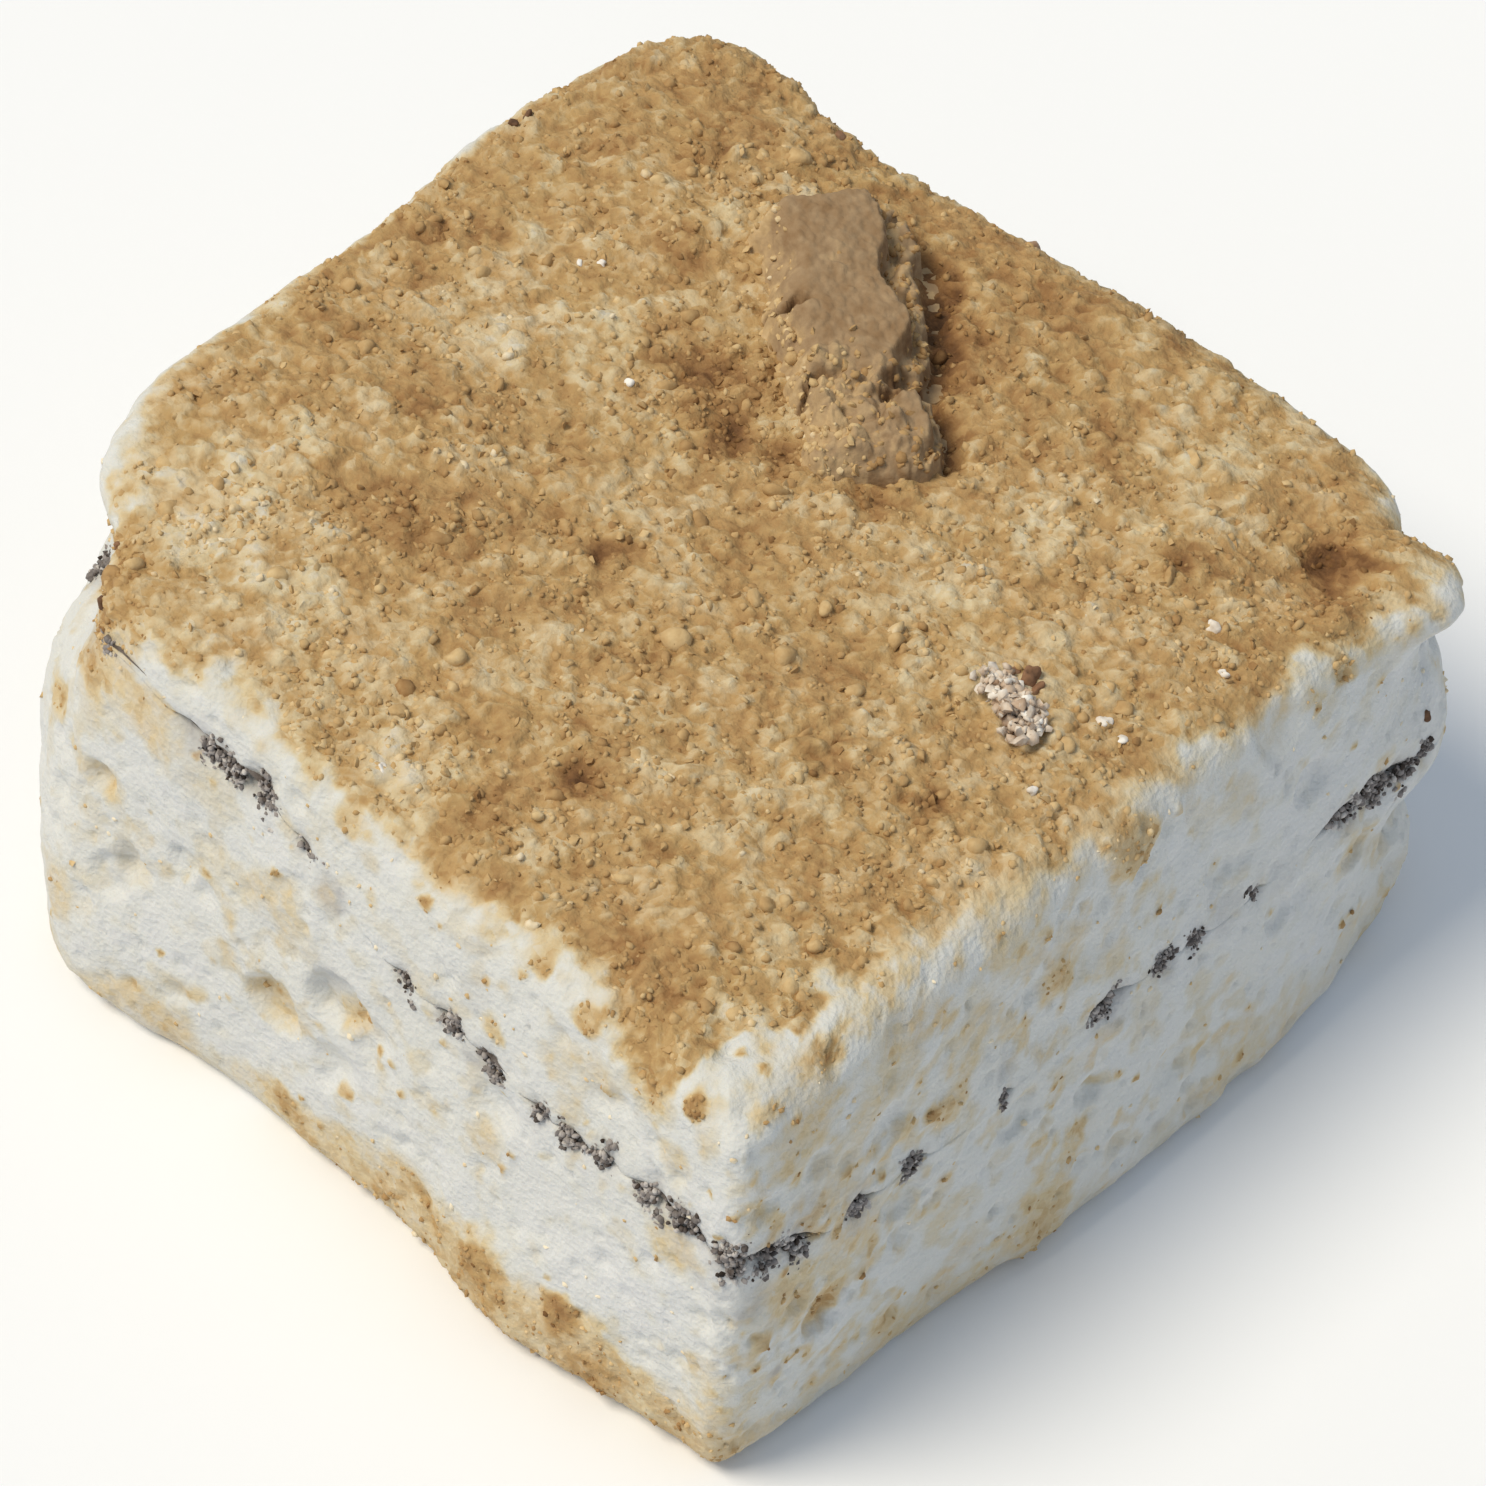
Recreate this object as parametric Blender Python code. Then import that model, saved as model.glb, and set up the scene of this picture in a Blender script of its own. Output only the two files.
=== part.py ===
"""A hand-cut square marshmallow: two poured layers with a dark cookie-crumb filling
between them, and one large lump of biscuit lying on its crumbed top.

Run with: blender --background --python part.py
The frame is +Z up, with the origin under the middle of the marshmallow, on the table.
Sizes below are in millimetres and are turned into metres when the meshes are made.
"""

import math

import bmesh
import bpy
import numpy as np

MM = 0.001

# Driving dimensions of the whole block.
HALF_X = 20.5
HALF_Y = 20.2
HEIGHT = 20.3

# The outline is uneven, and this point of it is the middle of its bounding box.
PLAN_MIDDLE = (-0.2, 0.42)

# The knife leaned, so each corner of the plan moves between the table and the top.
# For each corner: (x, y) shift at the table, then (x, y) shift at the top.
CORNER_SHIFT = {
    (-1, -1): ((2.1, 0.2), (1.4, 1.2)),
    (1, -1): ((0.0, -0.4), (-1.2, 0.4)),
    (1, 1): ((0.6, 0.6), (-1.8, 0.2)),
    (-1, 1): ((0.0, 0.3), (-0.6, 0.7)),
}
CORNER_RADIUS = {(-1, -1): 6.0, (1, -1): 1.0, (1, 1): 3.0, (-1, 1): 4.5}
WALL_BULGE = 0.5

# Roundings of the long edges, seen from the side.
TOP_EDGE = 1.9
SEAM_EDGE = 0.7
TABLE_EDGE = 1.3
EDGE_SHARE = 0.5  # an edge never takes more than this share of a thin wall
CAP_STIFFNESS = 8  # how closely a cap keeps to its surface before it meets its rim

# The filling is a thin wavy sheet, and touching pieces keep a small gap.
FILLING_THICKNESS = 1.0
FILLING_EDGE = 0.4
GAP = 0.3

# The filling's height along the front, how far it drops just behind the front and over
# what depth, and its ripples (height, then turns for each millimetre of x and y).
SEAM_HEIGHT = 13.0
SEAM_DROP = 2.2
SEAM_DROP_LENGTH = 5.5
SEAM_RIPPLE = (0.25, 0.7, 0.45)
# Slopes of the filling from right to left: climb, the x where it starts, and its length.
SEAM_SLOPES = ((4.6, 8.5, 17.0), (-0.9, -11.0, 8.0))

# Swellings (+) and hollows (-) of the walls: x, y, z, outward height, reach, reach in z.
WALL_SWELLINGS = (
    (20.5, 18.5, 18.9, 2.0, 2.8, 1.6),
    (16.8, 20.5, 19.0, -1.6, 1.5, 3.0),
    (20.5, 20.2, 15.4, -1.2, 4.0, 2.2),
    (20.5, 20.2, 6.6, -1.6, 4.0, 1.8),
    (20.5, 20.2, 1.0, -1.4, 5.0, 4.0),
    (20.5, -20.4, 0.0, -0.5, 3.5, 2.5),
    (-18.0, -17.5, 9.0, 0.3, 4.0, 4.0),
    (-19.0, -18.5, 18.0, -2.0, 4.5, 5.0),
    (-20.5, -5.0, 15.0, 1.5, 7.0, 14.0),
    (-20.5, -11.0, 19.5, 0.7, 3.5, 4.0),
    (-18.5, -15.5, 16.0, -1.5, 3.0, 2.0),
    (-17.5, -17.0, 0.5, -1.3, 6.5, 4.0),
    (-20.5, 9.0, 15.0, 1.4, 7.0, 14.0),
    (9.0, 20.2, 15.0, 1.3, 9.0, 14.0),
    (-11.0, 20.2, 17.0, -1.0, 5.0, 14.0),
    (-13.0, -20.0, 1.0, 1.6, 5.0, 6.0),
    (10.0, -20.0, 1.0, 0.9, 4.0, 5.0),
    (21.0, 3.0, 2.0, 0.95, 11.0, 6.0),
)

# The top falls by TOP_SAG towards its edges. Its mounds (+) and dips (-): x, y, height, reach.
TOP_SAG = 0.3
TOP_MOUNDS = (
    (-12.0, -8.0, 0.7, 7.0),
    (-13.0, 12.0, 0.5, 7.0),
    (6.0, -6.0, 0.5, 8.0),
    (16.5, 14.5, -0.9, 2.6),
    (18.0, 18.0, 0.6, 2.5),
)

# How finely each block is divided along its plan and up its walls.
PLAN_CUTS = 17
WALL_CUTS = 6
FILLING_WALL_CUTS = 1

# The lump of biscuit: a leaning slab with crumbled ends. Its back end is the thick one.
LUMP_CENTRE = (-3.2, 9.7)
LUMP_TURN = math.radians(-40)
LUMP_HALF_LENGTH = 7.0
LUMP_HALF_WIDTH = 3.6
LUMP_HEIGHT = 2.4
LUMP_MEAN_SHARE = 0.75  # thickness at its middle, as a share of the height
LUMP_LEAN = 0.25  # how much thicker the back end is, and how much thinner the front
LUMP_NARROWING = 0.2  # how much wider the back end is, and how much narrower the front
LUMP_TOP_TAPER = 0.82  # size of its top face against its foot
LUMP_EDGE_FALL = 0.3  # how much its top falls at its edges
LUMP_SQUARENESS = 0.5  # 0 makes it oval, 1 makes it square
LUMP_CUTS = (9, 5, 1)

MARSHMALLOW_WHITE = (0.80, 0.76, 0.68, 1.0)
FILLING_BROWN = (0.10, 0.08, 0.07, 1.0)
BISCUIT_TAN = (0.42, 0.26, 0.13, 1.0)
DRY = 0.9  # roughness
SHARP_ANGLE = math.radians(50)


def smooth_step(t):
    t = np.clip(t, 0.0, 1.0)
    return t * t * (3 - 2 * t)


def bell(distance, reach):
    return np.exp(-((distance / reach) ** 2))


def top_height(x, y):
    """Height of the crumbed top, apart from its rounded edges."""
    height = HEIGHT - TOP_SAG * ((x / HALF_X) ** 4 + (y / HALF_Y) ** 4)
    for mound_x, mound_y, rise, reach in TOP_MOUNDS:
        height = height + rise * bell(np.hypot(x - mound_x, y - mound_y), reach)
    return height


def seam_height(x, y):
    """Middle of the filling: level on the right, higher towards the left-hand edge."""
    height, turns_x, turns_y = SEAM_RIPPLE
    z = SEAM_HEIGHT + height * np.sin(turns_x * x + turns_y * y)
    z = z - SEAM_DROP * smooth_step((y + HALF_Y) / SEAM_DROP_LENGTH)
    for climb, start, length in SEAM_SLOPES:
        z = z + climb * smooth_step((start - x) / length)
    return z


def table_height(x, y):
    return 0.0 * x


def offset_surface(surface, rise):
    """The same surface, moved up by rise."""
    return lambda x, y: surface(x, y) + rise


def plan_edge(u, v, z):
    """Points of the outline at height z, for (u, v) on the edge of the unit square."""
    radius = np.zeros_like(u)
    for (side_x, side_y), corner_radius in CORNER_RADIUS.items():
        nearest = (u * side_x >= 0) & (v * side_y >= 0)
        radius = np.where(nearest, corner_radius, radius)
    x, y = u * HALF_X, v * HALF_Y
    inner_x = np.clip(x, radius - HALF_X, HALF_X - radius)
    inner_y = np.clip(y, radius - HALF_Y, HALF_Y - radius)
    reach = np.hypot(x - inner_x, y - inner_y)
    normal_x, normal_y = (x - inner_x) / reach, (y - inner_y) / reach
    x = inner_x + radius * normal_x
    y = inner_y + radius * normal_y
    level = z / HEIGHT
    for (side_x, side_y), (low, high) in CORNER_SHIFT.items():
        weight = (1 + side_x * u) * (1 + side_y * v) / 4
        x = x + weight * (low[0] + (high[0] - low[0]) * level)
        y = y + weight * (low[1] + (high[1] - low[1]) * level)
    swell = WALL_BULGE * (1 - (2 * level - 1) ** 2)
    for at_x, at_y, at_z, height, reach, reach_z in WALL_SWELLINGS:
        near = bell(np.hypot(x - at_x, y - at_y), reach) * bell(z - at_z, reach_z)
        swell = swell + height * near
    return x + swell * normal_x, y + swell * normal_y


def block_points(u, v, w, low, high, low_edge, high_edge):
    """Carries points (u, v, w) of the cube from -1 to 1 onto a block of the marshmallow.

    low and high are the surfaces below and above the block, and low_edge and high_edge
    the radii of its edges there. The cube's faces become the caps and the walls.
    """
    spread = np.maximum(np.abs(u), np.abs(v))
    safe = np.where(spread > 0, spread, 1.0)
    edge_u = np.where(spread > 0, u / safe, 1.0)
    edge_v = np.where(spread > 0, v / safe, 0.0)

    x, y = plan_edge(edge_u, edge_v, HEIGHT / 2)
    low_z, high_z = low(x, y), high(x, y)
    wall = high_z - low_z
    low_radius = np.minimum(low_edge, EDGE_SHARE * wall)
    high_radius = np.minimum(high_edge, EDGE_SHARE * wall)

    # The wall's path is an arc, a straight and an arc. along runs up it from 0.
    arc = math.pi / 2
    straight = wall - low_radius - high_radius
    along = (w + 1) / 2 * (arc * (low_radius + high_radius) + straight)
    low_angle = np.clip(along / low_radius, 0, arc)
    high_angle = np.clip((along - arc * low_radius - straight) / high_radius, 0, arc)
    climbed = np.clip(along - arc * low_radius, 0, straight)
    inset = low_radius * (1 - np.sin(low_angle)) + high_radius * (1 - np.cos(high_angle))
    rim_z = (
        low_z + low_radius * (1 - np.cos(low_angle)) + climbed + high_radius * np.sin(high_angle)
    )
    x, y = plan_edge(edge_u, edge_v, rim_z)
    rim_x, rim_y = x * (1 - inset / HALF_X), y * (1 - inset / HALF_Y)

    # The caps run in from the rim to the middle, and follow the surfaces.
    x, y = rim_x * spread, rim_y * spread
    surface = np.where(w > 0, high(x, y), low(x, y))
    rim_surface = np.where(w > 0, high(rim_x, rim_y), low(rim_x, rim_y))
    on_cap = np.abs(w) > 1 - 1e-6
    z = np.where(on_cap, surface + (rim_z - rim_surface) * spread**CAP_STIFFNESS, rim_z)
    return np.stack([x - PLAN_MIDDLE[0], y - PLAN_MIDDLE[1], z], axis=-1)


def lump_point(u, v, w):
    """Carries a point of the cube from -1 to 1 onto the lump, which lies on the top."""
    spread = max(abs(u), abs(v))
    round_off = spread / math.hypot(u, v) if spread > 0 else 1.0
    size = LUMP_SQUARENESS + (1 - LUMP_SQUARENESS) * round_off
    if w > 0:
        size *= LUMP_TOP_TAPER
    along = u * size * LUMP_HALF_LENGTH
    across = v * size * LUMP_HALF_WIDTH * (1 - LUMP_NARROWING * u)
    cosine, sine = math.cos(LUMP_TURN), math.sin(LUMP_TURN)
    x = LUMP_CENTRE[0] + along * cosine - across * sine
    y = LUMP_CENTRE[1] + along * sine + across * cosine
    z = float(top_height(x, y)) + GAP
    if w > 0:
        share = (LUMP_MEAN_SHARE - LUMP_LEAN * u) * (1 - LUMP_EDGE_FALL * spread**4)
        z += LUMP_HEIGHT * share
    return x - PLAN_MIDDLE[0], y - PLAN_MIDDLE[1], z


def gridded_cube(cuts):
    """A cube from -1 to 1 whose edges along x, y and z have the given numbers of cuts."""
    mesh = bmesh.new()
    bmesh.ops.create_cube(mesh, size=2.0)
    for axis, count in enumerate(cuts):
        edges = [e for e in mesh.edges if abs(e.verts[0].co[axis] - e.verts[1].co[axis]) > 1e-5]
        bmesh.ops.subdivide_edges(mesh, edges=edges, cuts=count, use_grid_fill=True)
    return mesh


def principled(name, colour):
    material = bpy.data.materials.new(name)
    material.use_nodes = True
    shader = material.node_tree.nodes["Principled BSDF"]
    shader.inputs["Base Color"].default_value = colour
    shader.inputs["Roughness"].default_value = DRY
    shader.inputs["Metallic"].default_value = 0.0
    return material


def add_object(name, mesh, material):
    """Turns a bmesh in millimetres into an object in metres."""
    bmesh.ops.scale(mesh, vec=(MM, MM, MM), verts=mesh.verts)
    bmesh.ops.triangulate(mesh, faces=mesh.faces)
    bmesh.ops.recalc_face_normals(mesh, faces=mesh.faces)
    data = bpy.data.meshes.new(name)
    mesh.to_mesh(data)
    mesh.free()
    data.materials.append(material)
    data.shade_smooth()
    data.set_sharp_from_angle(angle=SHARP_ANGLE)
    thing = bpy.data.objects.new(name, data)
    bpy.context.collection.objects.link(thing)
    return thing


def add_block(name, material, low, high, low_edge, high_edge, wall_cuts):
    mesh = gridded_cube((PLAN_CUTS, PLAN_CUTS, wall_cuts))
    cube = np.array([vert.co for vert in mesh.verts])
    points = block_points(*cube.T, low, high, low_edge, high_edge)
    for vert, point in zip(mesh.verts, points):
        vert.co = point
    # What rests on the table is one flat face.
    resting = [f for f in mesh.faces if all(abs(v.co.z) < 1e-6 for v in f.verts)]
    bmesh.ops.dissolve_faces(mesh, faces=resting, use_verts=True)
    return add_object(name, mesh, material)


def add_lump(name, material):
    mesh = gridded_cube(LUMP_CUTS)
    for vert in mesh.verts:
        vert.co = lump_point(*vert.co)
    return add_object(name, mesh, material)


def build():
    for thing in list(bpy.data.objects):
        bpy.data.objects.remove(thing)

    white = principled("marshmallow", MARSHMALLOW_WHITE)
    brown = principled("cookie_crumb", FILLING_BROWN)
    tan = principled("biscuit", BISCUIT_TAN)

    half_sheet = FILLING_THICKNESS / 2
    add_block(
        "lower_layer",
        white,
        table_height,
        offset_surface(seam_height, -half_sheet - GAP),
        TABLE_EDGE,
        SEAM_EDGE,
        WALL_CUTS,
    )
    add_block(
        "crumb_filling",
        brown,
        offset_surface(seam_height, -half_sheet),
        offset_surface(seam_height, half_sheet),
        FILLING_EDGE,
        FILLING_EDGE,
        FILLING_WALL_CUTS,
    )
    add_block(
        "upper_layer",
        white,
        offset_surface(seam_height, half_sheet + GAP),
        top_height,
        SEAM_EDGE,
        TOP_EDGE,
        WALL_CUTS,
    )
    add_lump("biscuit_lump", tan)


build()
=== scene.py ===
"""Looks for the hand-cut marshmallow: its poured layers in fine relief, the biscuit crumbs
that coat its top, the dark cookie crumbs in the seam, and the lump of biscuit on top.

Shapes are worked out in millimetres, in the part's own frame, and turned into metres when
a mesh is made. The blocks follow the same surfaces as the part, at a finer spacing.
"""
import itertools
import math

import bmesh
import bpy
import numpy as np
from mathutils import Euler, Matrix, Vector


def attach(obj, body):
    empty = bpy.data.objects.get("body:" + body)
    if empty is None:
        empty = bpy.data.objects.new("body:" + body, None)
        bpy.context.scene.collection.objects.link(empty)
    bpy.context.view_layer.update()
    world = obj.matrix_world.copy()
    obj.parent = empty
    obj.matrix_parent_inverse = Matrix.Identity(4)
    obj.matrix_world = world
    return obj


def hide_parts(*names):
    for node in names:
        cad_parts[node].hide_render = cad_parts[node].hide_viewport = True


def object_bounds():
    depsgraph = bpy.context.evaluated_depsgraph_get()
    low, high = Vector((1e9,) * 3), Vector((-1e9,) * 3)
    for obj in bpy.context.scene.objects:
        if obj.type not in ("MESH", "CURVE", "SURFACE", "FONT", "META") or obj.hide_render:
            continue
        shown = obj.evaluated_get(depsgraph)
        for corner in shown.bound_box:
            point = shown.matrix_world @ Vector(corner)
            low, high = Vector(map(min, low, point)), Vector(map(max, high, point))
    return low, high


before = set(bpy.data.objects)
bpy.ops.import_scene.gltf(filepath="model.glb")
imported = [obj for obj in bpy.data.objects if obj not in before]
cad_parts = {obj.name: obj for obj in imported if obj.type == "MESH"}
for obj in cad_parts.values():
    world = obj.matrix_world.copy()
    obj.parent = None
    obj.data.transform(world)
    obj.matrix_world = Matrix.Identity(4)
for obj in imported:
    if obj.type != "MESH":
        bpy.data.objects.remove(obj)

MM = 0.001
CAD_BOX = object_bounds()

# ---------------------------------------------------------------- the part's own shape

HALF_X = 20.5
HALF_Y = 20.2
HEIGHT = 20.3
PLAN_MIDDLE = (-0.2, 0.42)
# For each corner: (x, y) shift at the table, then (x, y) shift at the top.
CORNER_SHIFT = {
    (-1, -1): ((2.1, 0.2), (1.4, 1.2)),
    (1, -1): ((0.0, -0.4), (-1.2, 0.4)),
    (1, 1): ((0.6, 0.6), (-1.8, 0.2)),
    (-1, 1): ((0.0, 0.3), (-0.6, 0.7)),
}
CORNER_RADIUS = {(-1, -1): 6.0, (1, -1): 1.0, (1, 1): 3.0, (-1, 1): 4.5}
WALL_BULGE = 0.5
TOP_EDGE = 1.9
TABLE_EDGE = 1.3
EDGE_SHARE = 0.5
CAP_STIFFNESS = 8
SEAM_HEIGHT = 13.0
SEAM_DROP = 2.2
SEAM_DROP_LENGTH = 5.5
SEAM_RIPPLE = (0.25, 0.7, 0.45)
SEAM_SLOPES = ((4.6, 8.5, 17.0), (-0.9, -11.0, 8.0))
# Swellings (+) and hollows (-) of the walls: x, y, z, outward height, reach, reach in z.
WALL_SWELLINGS = (
    (20.5, 18.5, 18.9, 2.0, 2.8, 1.6),
    (16.8, 20.5, 19.0, -1.6, 1.5, 3.0),
    (20.5, 20.2, 15.4, -1.2, 4.0, 2.2),
    (20.5, 20.2, 6.6, -1.6, 4.0, 1.8),
    (20.5, 20.2, 1.0, -1.4, 5.0, 4.0),
    (20.5, -20.4, 0.0, -0.5, 3.5, 2.5),
    (-18.0, -17.5, 9.0, 0.3, 4.0, 4.0),
    (-19.0, -18.5, 18.0, -2.0, 4.5, 5.0),
    (-20.5, -5.0, 15.0, 1.5, 7.0, 14.0),
    (-20.5, -11.0, 19.5, 0.7, 3.5, 4.0),
    (-18.5, -15.5, 16.0, -1.5, 3.0, 2.0),
    (-17.5, -17.0, 0.5, -1.3, 6.5, 4.0),
    (-20.5, 9.0, 15.0, 1.4, 7.0, 14.0),
    (9.0, 20.2, 15.0, 1.3, 9.0, 14.0),
    (-11.0, 20.2, 17.0, -1.0, 5.0, 14.0),
    (-13.0, -20.0, 1.0, 1.6, 5.0, 6.0),
    (10.0, -20.0, 1.0, 0.9, 4.0, 5.0),
    (21.0, 3.0, 2.0, 0.95, 11.0, 6.0),
)
TOP_SAG = 0.3
TOP_MOUNDS = (
    (-12.0, -8.0, 0.7, 7.0),
    (-13.0, 12.0, 0.5, 7.0),
    (6.0, -6.0, 0.5, 8.0),
    (16.5, 14.5, -0.9, 2.6),
    (18.0, 18.0, 0.6, 2.5),
)
LUMP_CENTRE = (-3.2, 9.7)
LUMP_TURN = math.radians(-40)
LUMP_HALF_LENGTH = 7.0
LUMP_HALF_WIDTH = 3.6
LUMP_HEIGHT = 2.4
LUMP_MEAN_SHARE = 0.75
LUMP_LEAN = 0.25
LUMP_NARROWING = 0.2

# ---------------------------------------------------------------- the finer shape

BLOCK_SIDE = 240  # steps along each side of a marshmallow block
LOWER_LEVELS = 84
UPPER_LEVELS = 36
HIDDEN_CAP_ROWS = (0.4, 0.8, 0.96)  # sizes of the few rows across a cap that no one sees
# The layers part only round the clusters of dark crumbs, and are fused elsewhere. For both
# cases: half the gap between the layers, and the radius of their edges there.
SEAM_FUSED = (0.0, 0.01)
SEAM_PARTED = (0.10, 0.40)
WALL_INSET = 0.19  # leaves room for the relief inside the part's box

# For each side: the axis it runs along, the axis it faces, and which way.
SIDES = {
    "front": (0, 1, -1.0),
    "right": (1, 0, 1.0),
    "back": (0, 1, 1.0),
    "left": (1, 0, -1.0),
}

# Clusters of dark crumbs in the seam, by side: place along that side, and reach.
SEAM_CLUSTERS = {
    "front": (
        (-14.6, 0.4), (-8.0, 0.9), (-6.6, 0.7), (-4.8, 0.8), (-2.2, 0.35), (3.2, 0.4),
        (5.6, 0.6), (7.8, 0.45), (10.3, 0.45), (12.0, 0.6), (13.6, 0.5), (16.0, 0.75),
        (17.7, 1.0), (19.9, 0.9),
    ),
    "right": (
        (-19.4, 1.0), (-17.6, 0.8), (-14.2, 0.55), (-11.2, 0.45), (-6.4, 0.25), (-0.6, 0.75),
        (2.4, 0.5), (4.2, 0.45), (7.6, 0.3), (12.6, 0.9), (14.2, 0.9), (15.6, 0.8),
        (17.4, 0.4),
    ),
    "back": ((16.0, 0.7), (9.5, 0.9), (7.0, 0.5), (1.5, 0.8), (-6.0, 1.0), (-13.0, 0.6)),
    "left": ((15.5, 0.9), (9.0, 0.6), (4.0, 0.9), (-3.5, 0.5), (-9.5, 0.8), (-15.0, 0.6)),
}
# Grey smudges left by the dark crumbs, and painted shade in two burst bubbles of the front wall: place along
# the side, z, reach, strength.
GREY_SMUDGES_AND_SHADE = {
    "front": (
        # (0.2, 10.9) and (-11.3, 8.0) are painted shade in burst bubbles; the other rows are smudges.
        (-0.6, 15.5, 0.8, 0.55), (0.2, 10.9, 1.0, 0.3), (7.0, 13.0, 0.7, 0.5),
        (6.6, 16.0, 0.8, 0.18), (-11.3, 8.0, 0.8, 0.14), (19.0, 11.6, 1.0, 0.3),
    ),
    "right": (
        (-20.0, 10.4, 1.0, 0.45), (-17.6, 13.4, 1.2, 0.3), (-6.4, 12.0, 0.5, 0.35),
        (5.6, 10.8, 0.9, 0.3), (-14.4, 11.4, 0.9, 0.4), (9.0, 10.6, 1.0, 0.15),
        (-18.5, 5.4, 0.35, 0.7), (2.0, 2.6, 0.3, 0.5),
    ),
}

# How far down the coat of crumbs reaches past the start of the top's rounding, by side:
# (place along that side, reach down). Negative values stop short of the rounding.
COAT_EDGE = {
    "front": (
        (-20.0, 1.6), (-15.5, 2.6), (-13.8, 3.4), (-12.5, 1.2), (-10.5, 0.2), (-6.0, 0.0),
        (-3.0, 0.7), (-0.5, 1.1), (3.0, 1.5), (5.5, 1.0), (8.5, 0.2), (10.5, 0.0),
        (12.3, 0.6), (13.2, 2.0), (15.2, 2.2), (15.9, 0.0), (16.6, -3.2), (20.0, -5.0),
    ),
    "right": (
        (-20.0, -5.0), (-18.0, -4.0), (-17.0, -1.6), (-16.2, 0.9), (-15.2, 0.9),
        (-14.4, -1.4), (-12.0, -0.6), (-7.7, 0.4), (-4.0, 0.9), (1.0, 1.2), (7.0, 1.3), (10.0, 1.6),
        (13.0, 1.7), (16.5, 1.6), (19.0, 1.4),
    ),
    "back": ((19.0, 2.2), (12.0, 1.8), (4.0, 2.3), (-5.0, 1.7), (-14.0, 2.4)),
    "left": ((18.0, 2.0), (9.0, 2.2), (0.0, 1.6), (-9.0, 0.9), (-13.0, 0.5), (-17.0, 1.8)),
}

# The band of crumbs by the table: place along the side, its height, and its tone.
TABLE_CRUMBS = {
    "front": (
        (-20.0, 2.0, 0.24), (-14.0, 3.0, 0.24), (-9.5, 3.8, 0.29), (-6.5, 3.2, 0.31),
        (-4.5, 1.4, 0.20), (-2.6, 2.8, 0.36), (0.0, 3.4, 0.36), (4.0, 4.2, 0.38),
        (8.0, 4.8, 0.42), (10.5, 4.4, 0.40), (13.5, 5.2, 0.42), (16.5, 4.2, 0.38),
        (19.5, 4.4, 0.38),
    ),
    "right": (
        (-20.0, 4.0, 0.36), (-17.5, 2.0, 0.24), (-13.0, 3.2, 0.28), (-8.0, 3.0, 0.31),
        (-4.0, 4.4, 0.33), (0.0, 2.4, 0.20), (5.0, 4.6, 0.26), (9.0, 3.6, 0.24),
        (13.0, 3.6, 0.20), (18.0, 4.0, 0.24),
    ),
    "back": ((16.0, 3.0, 0.34), (6.0, 2.0, 0.30), (-4.0, 4.0, 0.36), (-15.0, 2.4, 0.30)),
    "left": ((15.0, 3.4, 0.34), (5.0, 2.2, 0.28), (-6.0, 3.8, 0.36), (-15.0, 2.0, 0.3)),
}

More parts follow.
